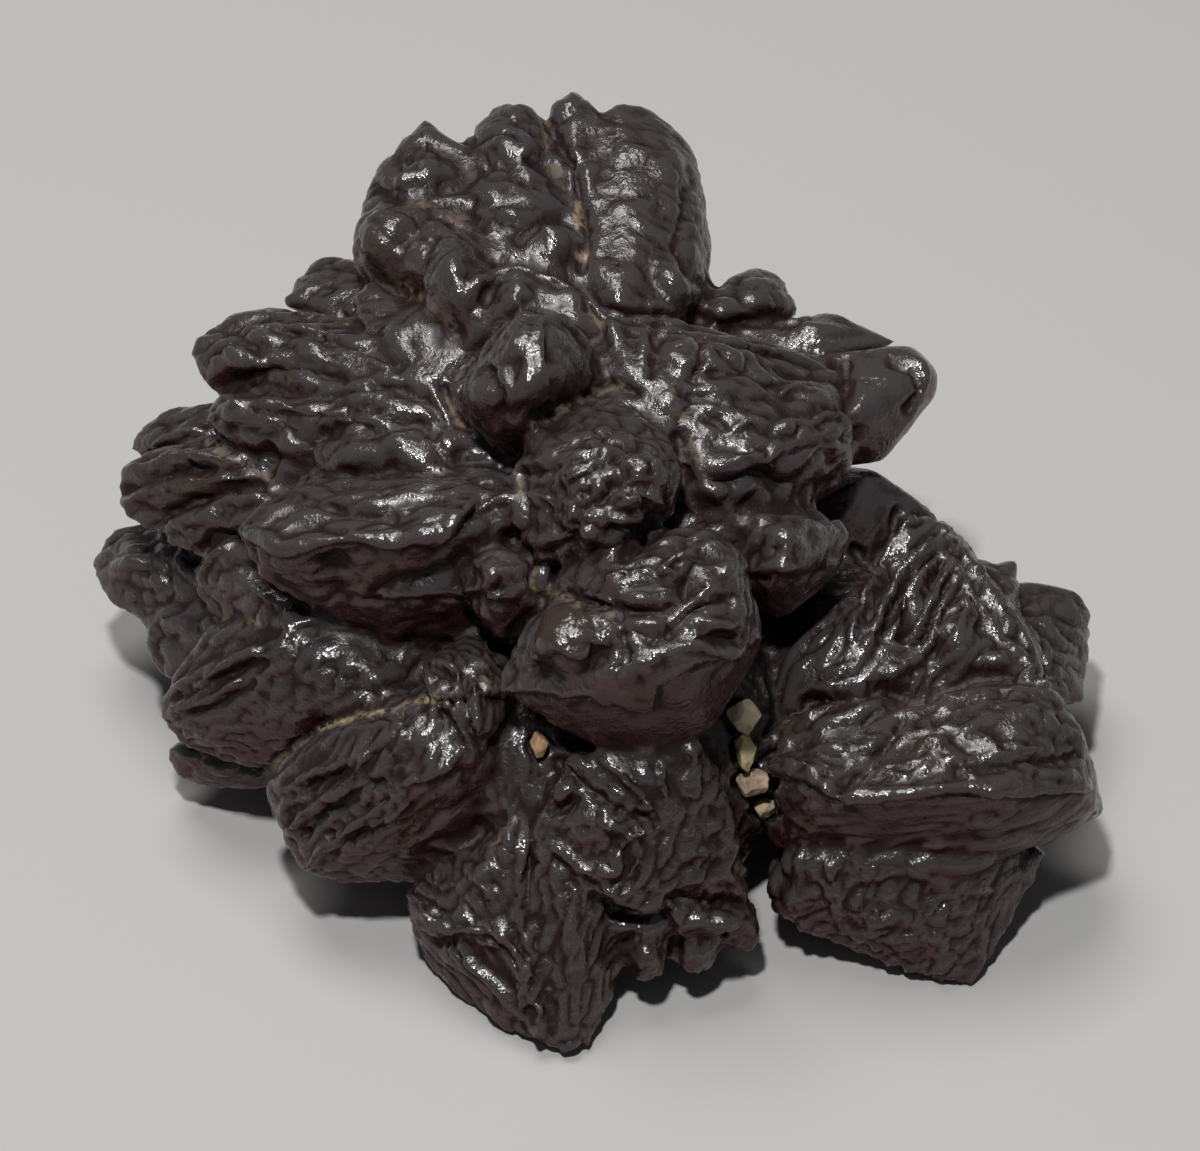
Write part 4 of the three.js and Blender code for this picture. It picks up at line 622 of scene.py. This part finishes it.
relief["foot"] = {
    "lumps": [
        (2.2, -10, 0.7, 0.5, 0, 0.25), (4.6, -8.6, 0.6, 0.6, 0, 0.3), (-1.9, -10.8, 0.9, 0.7, 20, 0.25),
        (-1.3, -12.4, 1.3, 0.7, 0, 0.2), (0.9, -12.7, 1.1, 0.4, -20, 0.2), (5.6, -12.5, 0.7, 0.5, 0, 0.25),
        (5.5, -13.9, 0.8, 0.5, 0, 0.25), (4.3, -13.8, 0.5, 0.5, 0, 0.2), (4.6, -15.1, 0.8, 0.6, 0, 0.25),
        (6.4, -15.2, 0.8, 0.5, 0, 0.2), (6.4, -17.6, 1.4, 0.8, 10, 0.3), (4.5, -19, 0.6, 1.1, 0, 0.35),
        (2.3, -19, 0.8, 1.4, 10, 0.35),
    ],
    "ridges": [
        (0.25, 0.4, [(-10, -15.8), (-8.9, -16.4), (-8.5, -17.4), (-7.8, -18.1)]),
        (0.25, 0.35, [(-7.2, -17.8), (-5.9, -17.8)]),
        (0.3, 0.45, [(-5, -18), (-4.4, -18.7), (-3.9, -19.4), (-3.5, -20)]),
        (0.25, 0.4, [(-6.6, -19.4), (-5.6, -20.2), (-4.8, -20.9), (-4, -21.7), (-3, -22.8)]),
        (0.25, 0.4, [(-3.9, -20.8), (-3.7, -21.4)]),
        (0.25, 0.45, [(-3, -21.6), (-2.9, -22.3), (-2.8, -22.9)]), (0.25, 0.35, [(-6, -15.2), (-5.5, -16)]),
        (0.3, 0.35, [(-3.8, -13.2), (-4, -14.8), (-4.1, -16.6), (-3.9, -17.8), (-3.4, -19)]),
        (0.25, 0.4, [(0, -14.7), (0.8, -14.9), (1, -13.9), (1.2, -13.3), (2, -12.9), (2.4, -12.6)]),
        (0.22, 0.3, [(1.5, -14.8), (1.9, -14.3)]), (0.22, 0.3, [(1.2, -15.9), (2, -15.2)]),
        (0.22, 0.35, [(1.2, -10.2), (2, -10.9), (2.5, -11.6)]),
        (0.22, 0.35, [(3.1, -9.4), (3.1, -10.3), (3.3, -11.1)]),
        (0.25, 0.35, [(4.4, -8.6), (4.7, -9.4), (4.8, -10.6), (4.6, -11)]),
        (0.22, 0.3, [(-1.9, -8.6), (-1.1, -9.2), (-0.4, -9.8)]),
        (0.22, 0.3, [(0.2, -9.2), (1.2, -10), (1.6, -10.6)]),
    ],
    "furrows": [
        (0.35, 0.45, [(-2.1, -9.3), (-1, -10.4), (0.2, -11.2), (1.4, -11.9), (2.6, -12.3)]),
        (0.3, 0.45, [(-2.6, -11.8), (-1.8, -11.6), (-1.3, -11.1)]),
        (0.4, 0.5, [(3.4, -16.2), (5, -16.3), (6.8, -16.5), (7.6, -16.4)]),
        (0.35, 0.5, [(3.4, -17.2), (3.8, -18.4), (3.6, -19.6)]),
        (0.4, 0.5, [(1, -16.9), (2.4, -17.3), (3.2, -16.9)]),
        (0.35, 0.4, [(-8.2, -18.3), (-6.8, -18.2), (-5.4, -18.2), (-4.8, -18.8), (-4.2, -19.6)]),
    ],
    "ledges": [
        (0.6, 0.4, [(-2, -14), (-1, -14.8), (0, -15.4), (0.8, -16.4), (1.8, -17.1), (2.6, -16.9)]),
    ],
}

# How far each kind of relief fades out, in its own widths, and how sharply.
profiles = {"lump": (1.2, 1.5), "line": (1.5, 1.6), "ledge": (2, 2)}
ledgeEdge = 0.22  # half the width of a ledge's step


def nearLine(seen, line, reach):
    corners = np.array(line, float)
    inside = (seen > corners.min(0) - reach) & (seen < corners.max(0) + reach)
    return np.flatnonzero(inside.all(1))


def addLump(heights, seen, lump):
    x, y, wide, tall, turn, rise = lump
    spread, power = profiles["lump"]
    near = nearLine(seen, [(x, y)], math.sqrt(spread) * max(wide, tall))
    c, s = math.cos(math.radians(turn)), math.sin(math.radians(turn))
    away = seen[near] - (x, y)
    u, v = away[:, 0] * c + away[:, 1] * s, away[:, 1] * c - away[:, 0] * s
    reach = (u / wide) ** 2 + (v / tall) ** 2  # 1 at the lump's nominal edge
    heights[near] += rise * np.clip(1 - reach / spread, 0, 1) ** power


def addLine(heights, seen, width, rise, line):
    spread, power = profiles["line"]
    near = nearLine(seen, line, width * spread)
    distance, _ = lineDistance(seen[near], line)
    heights[near] += rise * np.clip(1 - distance / (width * spread), 0, 1) ** power


# A ledge rises to its line on the left and drops steeply on the right.
def addLedge(heights, seen, width, rise, line):
    spread, power = profiles["ledge"]
    near = nearLine(seen, line, width * spread)
    distance, side = lineDistance(seen[near], line)
    fade = np.clip(1 - distance / (width * spread), 0, 1) ** power
    step = np.clip(side * distance / ledgeEdge, -1, 1)
    heights[near] += rise * fade * np.where(step > 0, 0.35 + 0.65 * step, 0.35 + 1.2 * step)


# The relief fades where the skin turns away from the eye, and stops where the eye doesn't see it.
def visibleShare(points, normals, mesh):
    eye = facePoint(0, 0, eyeDistance)
    ways = points - np.array(eye)
    lengths = np.linalg.norm(ways, axis=1)
    facing = -(ways * normals).sum(1) / lengths
    grazing, full = stoneSettings["facing"]
    share = np.clip((facing - grazing) / (full - grazing), 0, 1)
    tree = treeOf(mesh)
    for i in np.flatnonzero(share > 0):
        if tree.ray_cast(eye, Vector(ways[i] / lengths[i]), lengths[i] - clearance)[0] is not None:
            share[i] = 0
    return share


def carve(piece):
    mesh = piece.data
    points = readVertices(mesh, "co")
    even = neighbourMean(mesh, readVertices(mesh, "normal"), 6)
    even /= np.linalg.norm(even, axis=1)[:, None]
    seen = seenPlaces(toFace(points))
    share = neighbourMean(mesh, visibleShare(points, even, mesh)[:, None], 4)[:, 0]
    heights = np.zeros(len(points))
    for form in relief.values():
        strength = form.get("strength", 1)
        for *shape, rise in form.get("lumps", []):
            addLump(heights, seen, (*shape, rise * strength))
        for width, rise, line in form.get("ridges", []):
            addLine(heights, seen, width, rise * strength, line)
        for width, depth, line in form.get("furrows", []):
            addLine(heights, seen, width, -depth * strength, line)
        for width, rise, line in form.get("ledges", []):
            addLedge(heights, seen, width, rise * strength, line)
    writeGrounded(mesh, points + even * (heights * share)[:, None] * stoneSettings["relief"] / 1000)


# The stone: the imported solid's own form, rounded as the varnish rounds it, and wrinkled.
# The fillings close two creases where the skin runs on in the photo: under the right fan and under the
# front block. Each is its place and its half sizes on the face, in millimetres.
stoneSettings = {
    "voxel_size": 0.00021,
    "rounding": 0.5,
    "rounds": 22,
    "relief": 1.2,
    "facing": (0.12, 0.52),
    "pocket": 0.3,
    "opening": 3.5,
    "fillings": [[(14.4, -14.2, 1.2), (5.6, 1.1, 1.3)], [(3.1, -17.1, 2.3), (4.3, 0.9, 1.5)]],
    "triangles": 188000,
}

# The sand grains: broken, angular, each in its CAD grain's place.
# A size is half the width, height and depth on the face, in millimetres; a turn is in degrees.
grainSettings = {
    # The top grain's pale colour is partly its own and partly painted light, raised to lift the shade it sits
    # in under the boss.
    "cleftGrainTop": {"colour": (0.90, 0.77, 0.52, 1), "seed": 3, "size": (0.68, 0.76, 0.6), "turn": 10},
    "cleftGrainMiddle": {"colour": (0.62, 0.53, 0.29, 1), "seed": 8, "size": (0.48, 0.84, 0.45), "turn": 13},
    "cleftGrainRose": {"colour": (0.50, 0.36, 0.26, 1), "seed": 13, "size": (0.78, 0.66, 0.55), "turn": 25},
    "cleftGrainLow": {"colour": (0.46, 0.36, 0.22, 1), "seed": 17, "size": (0.5, 0.48, 0.42), "turn": 20},
    "footGrain": {"colour": (0.46, 0.28, 0.15, 1), "seed": 21, "size": (0.42, 0.58, 0.42), "turn": 15},
}


# Opens the cleft in front of each grain, so that the rounding doesn't bury the grain.
def openPockets(piece):
    face = toFace(readVertices(piece.data, "co"))
    gap = stoneSettings["pocket"]
    for name in grainSettings:
        lowest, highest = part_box(name)
        half = (highest - lowest) * 500  # in millimetres
        wide, tall = half.x + gap, half.z + gap
        centre = toFace(np.array((lowest + highest) / 2)[None])
        seen = seenPlaces(face)
        reach = ((seen - seenPlaces(centre)) ** 2 / (wide ** 2, tall ** 2)).sum(1)
        depth = centre[0, 2]
        back = depth - tall * np.sqrt(np.clip(1 - reach, 0, 1))
        dug = (reach < 1) & (face[:, 2] > back) & (face[:, 2] < depth + stoneSettings["opening"])
        face[dug, 2] = back[dug]
        face[dug, :2] = seen[dug] * (1 - face[dug, 2:] / eyeDistance)
    writePoints(piece.data, fromFace(face))


def addFilling(piece, place, halves):
    deselectAll()
    bpy.ops.mesh.primitive_uv_sphere_add(segments=32, ring_count=16, radius=0.001,
        location=facePoint(*place), rotation=(faceLean, 0, 0), scale=halves)
    piece.select_set(True)
    bpy.context.view_layer.objects.active = piece
    bpy.ops.object.join()


def buildStone():
    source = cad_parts["stone"]
    piece = bpy.data.objects.new("varnishedStone", source.data.copy())
    bpy.context.scene.collection.objects.link(piece)
    piece.data.materials.clear()
    makeActive(piece)
    bpy.ops.object.mode_set(mode="EDIT")
    bpy.ops.mesh.select_all(action="SELECT")
    bpy.ops.mesh.remove_doubles(threshold=0.000001)
    bpy.ops.object.mode_set(mode="OBJECT")
    for place, halves in stoneSettings["fillings"]:
        addFilling(piece, place, halves)
    factor = stoneSettings["rounding"]
    applyModifier(piece, "REMESH", mode="VOXEL", voxel_size=stoneSettings["voxel_size"])
    applyModifier(piece, "SMOOTH", factor=factor, iterations=stoneSettings["rounds"])
    openPockets(piece)
    applyModifier(piece, "SMOOTH", factor=factor, iterations=2)
    print("stone remeshed:", len(piece.data.polygons), "faces")
    carve(piece)
    print("stone carved")
    wrinkle(piece)
    triangles = sum(len(p.vertices) - 2 for p in piece.data.polygons)
    applyModifier(piece, "DECIMATE", ratio=min(1, stoneSettings["triangles"] / triangles))
    makeActive(piece)
    bpy.ops.object.shade_smooth()
    writeGrounded(piece.data, readVertices(piece.data, "co"))
    return piece


stone = buildStone()
print("stone wrinkled:", len(stone.data.polygons), "faces")

for name, rounds, reach in (("hollow", 3, 0.05), ("groove", 14, 0.16), ("crevice", 60, 0.6)):
    writeValues(stone.data, name, curvature(stone.data, rounds, reach))
for kind in veins:
    writeValues(stone.data, kind + "Vein", veinMask(stone, kind))
print("crevices measured")


def setInput(tree, socket, value):
    if isinstance(value, bpy.types.NodeSocket):
        tree.links.new(value, socket)
    else:
        socket.default_value = value


def node(tree, kind, inputs=None, **settings):
    made = tree.nodes.new(kind)
    for key, value in settings.items():
        setattr(made, key, value)
    for key, value in (inputs or {}).items():
        setInput(tree, made.inputs[key], value)
    return made


def maths(tree, operation, *values):
    return node(tree, "ShaderNodeMath", dict(enumerate(values)), operation=operation).outputs[0]


def noiseValue(tree, where, scale, detail=3, roughness=0.5):
    inputs = {"Vector": where, "Scale": scale, "Detail": detail, "Roughness": roughness}
    return node(tree, "ShaderNodeTexNoise", inputs).outputs["Fac"]


def mapRange(tree, value, start, end, least, most):
    inputs = {"Value": value, "From Min": start, "From Max": end, "To Min": least, "To Max": most}
    return node(tree, "ShaderNodeMapRange", inputs).outputs["Result"]


def smoothStep(tree, value, start, end):
    inputs = {"Value": value, "From Min": start, "From Max": end}
    return node(tree, "ShaderNodeMapRange", inputs, interpolation_type="SMOOTHSTEP").outputs["Result"]


def mixColours(tree, factor, first, second):
    made = node(tree, "ShaderNodeMix", data_type="RGBA")
    for key, value in (("Factor", factor), (6, first), (7, second)):  # 6 and 7 are the colours A and B
        setInput(tree, made.inputs[key], value)
    return made.outputs[2]


def newMaterial(name):
    material = bpy.data.materials.new(name)
    material.use_nodes = True
    return material, material.node_tree, material.node_tree.nodes["Principled BSDF"]


# Fine relief shared by the stone and the grains: shallow pits and hairline wrinkles.
def reliefGroup():
    group = bpy.data.node_groups.new("skinRelief", "ShaderNodeTree")
    group.interface.new_socket("Scale", in_out="INPUT", socket_type="NodeSocketFloat")
    group.interface.new_socket("Height", in_out="OUTPUT", socket_type="NodeSocketFloat")
    given, put = group.nodes.new("NodeGroupInput"), group.nodes.new("NodeGroupOutput")
    where = node(group, "ShaderNodeTexCoord").outputs["Object"]
    fine = noiseValue(group, where, given.outputs["Scale"], 4, 0.55)
    creased = maths(group, "ABSOLUTE", maths(group, "SUBTRACT", fine, 0.5))
    group.links.new(maths(group, "MULTIPLY", creased, 3.0), put.inputs["Height"])
    return group


skinRelief = reliefGroup()


def addRelief(tree, shader, scale, strength, distance):
    skin = node(tree, "ShaderNodeGroup", node_tree=skinRelief)
    skin.inputs["Scale"].default_value = scale
    inputs = {"Height": skin.outputs["Height"], "Strength": strength, "Distance": distance}
    tree.links.new(node(tree, "ShaderNodeBump", inputs).outputs["Normal"], shader.inputs["Normal"])


# Colours, and the values between which each mask rises.
varnishSettings = {
    # Some of these colours paint light and shade: the darker, redder underside, the lighter up-facing crests,
    # the darker furrows and the red tint of the reflections below.
    "paintedShadeUnder": (0.030, 0.0075, 0.007, 1),
    "body": (0.030, 0.021, 0.0213, 1),
    "paintedSheenCrest": (0.048, 0.040, 0.041, 1),
    "paintedShadeFurrow": (0.012, 0.0042, 0.004, 1),
    "brown": (0.040, 0.028, 0.021, 1),
    "sediment": (0.105, 0.077, 0.05, 1),
    "cream": (0.36, 0.27, 0.17, 1),
    "paintedReflectionBelow": (1, 0.6, 0.57, 1),
    "glossAbove": (1, 1, 1, 1),
    "upwardFrom": (-0.25, 0.75),
    "crestFrom": (0.0, -0.6),
    "narrowFrom": (0.1, 0.9),
    "broadFrom": (0.05, 0.75),
    "deepFrom": (0.55, 1.0),
    "brownFrom": (0.56, 0.74),
    "dustFrom": (0.45, 0.62),
    "tanFrom": (0.40, 0.56),
    "creamFrom": (0.3, 0.55),
    "dust": 0.35,
    "furrowDullness": 0.6,
    "dullness": 0.4,
}


def varnishMaterial():
    s = varnishSettings
    material, tree, shader = newMaterial("desertVarnish")
    where = node(tree, "ShaderNodeTexCoord").outputs["Object"]
    hollow, groove, crevice, creamVein, tanVein = [
        node(tree, "ShaderNodeAttribute", attribute_name=name).outputs["Fac"]
        for name in ("hollow", "groove", "crevice", "creamVein", "tanVein")]
    patches, speckle = noiseValue(tree, where, 180), noiseValue(tree, where, 1800)

    paintedSheenCrest = smoothStep(tree, hollow, *s["crestFrom"])
    narrow, broad = smoothStep(tree, hollow, *s["narrowFrom"]), smoothStep(tree, groove, *s["broadFrom"])
    paintedShadeFurrow = maths(tree, "MAXIMUM", narrow, broad)
    normal = node(tree, "ShaderNodeNewGeometry").outputs["Normal"]
    height = node(tree, "ShaderNodeSeparateXYZ", {"Vector": normal}).outputs["Z"]
    upward = smoothStep(tree, height, *s["upwardFrom"])
    # Painted shade and a painted red reflection: the skin facing down is coloured darker and redder than the
    # skin facing up.
    colour = mixColours(tree, upward, s["paintedShadeUnder"], s["body"])
    # Painted sheen: the crests facing up are coloured a lighter grey.
    colour = mixColours(tree, maths(tree, "MULTIPLY", paintedSheenCrest, upward), colour, s["paintedSheenCrest"])
    colour = mixColours(tree, smoothStep(tree, patches, *s["brownFrom"]), colour, s["brown"])
    # Painted shade: the narrow hollows and broad grooves are darkened to a deep red-brown.
    colour = mixColours(tree, paintedShadeFurrow, colour, s["paintedShadeFurrow"])

    deep = smoothStep(tree, crevice, *s["deepFrom"])
    dusty = maths(tree, "MULTIPLY", deep, smoothStep(tree, speckle, *s["dustFrom"]))
    settled = maths(tree, "MULTIPLY", tanVein, smoothStep(tree, speckle, *s["tanFrom"]))
    dirt = maths(tree, "MAXIMUM", maths(tree, "MULTIPLY", dusty, s["dust"]), settled)
    cream = maths(tree, "MULTIPLY", creamVein, smoothStep(tree, speckle, *s["creamFrom"]))
    colour = mixColours(tree, dirt, colour, s["sediment"])
    colour = mixColours(tree, cream, colour, s["cream"])
    tree.links.new(colour, shader.inputs["Base Color"])

    # The wind polishes the crests; the furrows and the sediment are dull.
    dull = maths(tree, "MAXIMUM", dirt, cream)
    dull = maths(tree, "MAXIMUM", dull, maths(tree, "MULTIPLY", broad, s["furrowDullness"]))
    rough = mapRange(tree, hollow, -0.8, 0.4, 0.12, 0.33)
    grainy = mapRange(tree, speckle, 0.3, 0.7, -0.05, 0.06)
    total = maths(tree, "MULTIPLY_ADD", dull, s["dullness"], maths(tree, "ADD", rough, grainy))
    tree.links.new(total, shader.inputs["Roughness"])
    shader.inputs["IOR"].default_value = 1.65
    # Painted reflection: the reflections on the skin facing down are tinted red.
    paintedReflectionTint = mixColours(tree, upward, s["paintedReflectionBelow"], s["glossAbove"])
    tree.links.new(paintedReflectionTint, shader.inputs["Specular Tint"])
    # Painted shade: the skin facing down and the furrows reflect less, which darkens them.
    paintedShadeSpecular = mapRange(tree, upward, 0, 1, 0.28, 0.55)
    paintedShadeFurrowSpecular = mapRange(tree, paintedShadeFurrow, 0, 1, 1, 0.5)
    tree.links.new(maths(tree, "MULTIPLY", paintedShadeSpecular, paintedShadeFurrowSpecular), shader.inputs["Specular IOR Level"])
    addRelief(tree, shader, 1500, 0.4, 0.00013)
    return material


stone.data.materials.append(varnishMaterial())
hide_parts("stone")
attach(stone, "root")
print("stone finished")


def sandMaterial(name, colour):
    material, tree, shader = newMaterial(name + "Sand")
    mottle = noiseValue(tree, node(tree, "ShaderNodeTexCoord").outputs["Object"], 1800)
    darker = tuple(c * 0.62 for c in colour[:3]) + (1,)
    mixed = mixColours(tree, smoothStep(tree, mottle, 0.35, 0.65), darker, colour)
    tree.links.new(mixed, shader.inputs["Base Color"])
    shader.inputs["Roughness"].default_value = 0.6
    shader.inputs["Subsurface Weight"].default_value = 0.15
    shader.inputs["Subsurface Scale"].default_value = 0.0004
    addRelief(tree, shader, 2600, 0.5, 0.00008)
    return material


# A cut's turn and rise spread the cuts round the ball; its reach is how far from the centre it lies.
cutSettings = {"count": 11, "step": 2.4, "turn": 0.4, "rise": 0.15, "steepest": 0.95, "reach": (0.8, 1.0)}


# A grain is a ball broken by flat cuts, then brought to its size and place, with its edges worn.
def buildGrain(name, colour, seed, size, turn):
    lowest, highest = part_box(name)
    deselectAll()
    bpy.ops.mesh.primitive_ico_sphere_add(subdivisions=4, radius=1.3, location=(0, 0, 0))
    piece = bpy.context.object
    piece.name = name + "Sand"
    bpy.ops.object.mode_set(mode="EDIT")
    draw = random.Random(seed)
    s = cutSettings
    for i in range(s["count"]):
        around = s["step"] * i + draw.uniform(-s["turn"], s["turn"])
        rise = 1 - 2 * (i + 0.5) / s["count"] + draw.uniform(-s["rise"], s["rise"])
        rise = max(-s["steepest"], min(s["steepest"], rise))
        flat = math.sqrt(1 - rise * rise)
        way = Vector((flat * math.cos(around), flat * math.sin(around), rise))
        bpy.ops.mesh.select_all(action="SELECT")
        bpy.ops.mesh.bisect(plane_co=way * draw.uniform(*s["reach"]), plane_no=way, use_fill=True,
            clear_outer=True)
    bpy.ops.object.mode_set(mode="OBJECT")
    place = Matrix.Translation((lowest + highest) / 2) @ faceTurn
    shape = Matrix.Rotation(math.radians(turn), 4, "Z") @ Matrix.Diagonal((*[h / 1000 for h in size], 1))
    piece.matrix_world = place @ shape
    makeActive(piece)
    bpy.ops.object.transform_apply(location=True, rotation=True, scale=True)
    applyModifier(piece, "REMESH", mode="VOXEL", voxel_size=0.00004)
    applyModifier(piece, "SMOOTH", factor=0.5, iterations=3)
    points, normals = readVertices(piece.data, "co"), readVertices(piece.data, "normal")
    rough = np.array([abs(noise.noise(Vector(p) * 2600)) for p in points]) - 0.2
    writePoints(piece.data, points + normals * rough[:, None] * 0.00006)
    makeActive(piece)
    bpy.ops.object.shade_smooth()
    piece.data.materials.append(sandMaterial(name, colour))
    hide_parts(name)
    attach(piece, "root")


for name, settings in grainSettings.items():
    buildGrain(name, **settings)
print("grains finished")

# The pale floor, the light and the camera at the photo's angle.
deselectAll()
bpy.ops.mesh.primitive_plane_add(size=3, location=(0, 0, 0))
floor = bpy.context.object
floor.name = "floor"
floorMaterial, _, floorShader = newMaterial("paleFloor")
floorShader.inputs["Base Color"].default_value = (0.44, 0.435, 0.43, 1)
floorShader.inputs["Roughness"].default_value = 0.9
floor.data.materials.append(floorMaterial)

# Each light's place is in the stone's face frame, in millimetres.
lights = {
    "overhead": {"place": (-80, 390, 250), "size": 0.22, "power": 1.2, "colour": (1, 0.985, 0.96)},
    "glint": {"place": (-40, 190, 400), "size": 0.03, "power": 1.5, "colour": (1, 1, 1)},
}


def addLight(name, place, size, power, colour):
    data = bpy.data.lights.new(name, "AREA")
    data.size, data.energy, data.color = size, power, colour
    light = bpy.data.objects.new(name, data)
    bpy.context.scene.collection.objects.link(light)
    light.location = facePoint(*place)
    light.rotation_mode = "QUATERNION"
    light.rotation_quaternion = (faceCentre - light.location).to_track_quat("-Z", "Y")


for name, settings in lights.items():
    addLight(name, **settings)

world = bpy.data.worlds.new("studio")
bpy.context.scene.world = world
world.use_nodes = True
background = world.node_tree.nodes["Background"]
background.inputs["Color"].default_value = (0.80, 0.82, 0.86, 1)
background.inputs["Strength"].default_value = 0.09

sensorHalf, viewHalf = 18, 30  # half the sensor's width, and half of what it sees at the face, in millimetres
camera = bpy.data.objects.new("photoCamera", bpy.data.cameras.new("photoCamera"))
bpy.context.scene.collection.objects.link(camera)
bpy.context.scene.camera = camera
backwards = faceTurn @ Vector((0, 0, 1))
camera.location = faceCentre + backwards * eyeDistance / 1000
camera.rotation_mode = "QUATERNION"
camera.rotation_quaternion = (-backwards).to_track_quat("-Z", "Y")
camera.data.lens = sensorHalf * eyeDistance / viewHalf
camera.data.clip_start = 0.01
bpy.context.scene.view_settings.view_transform = "Standard"
print("studio finished")
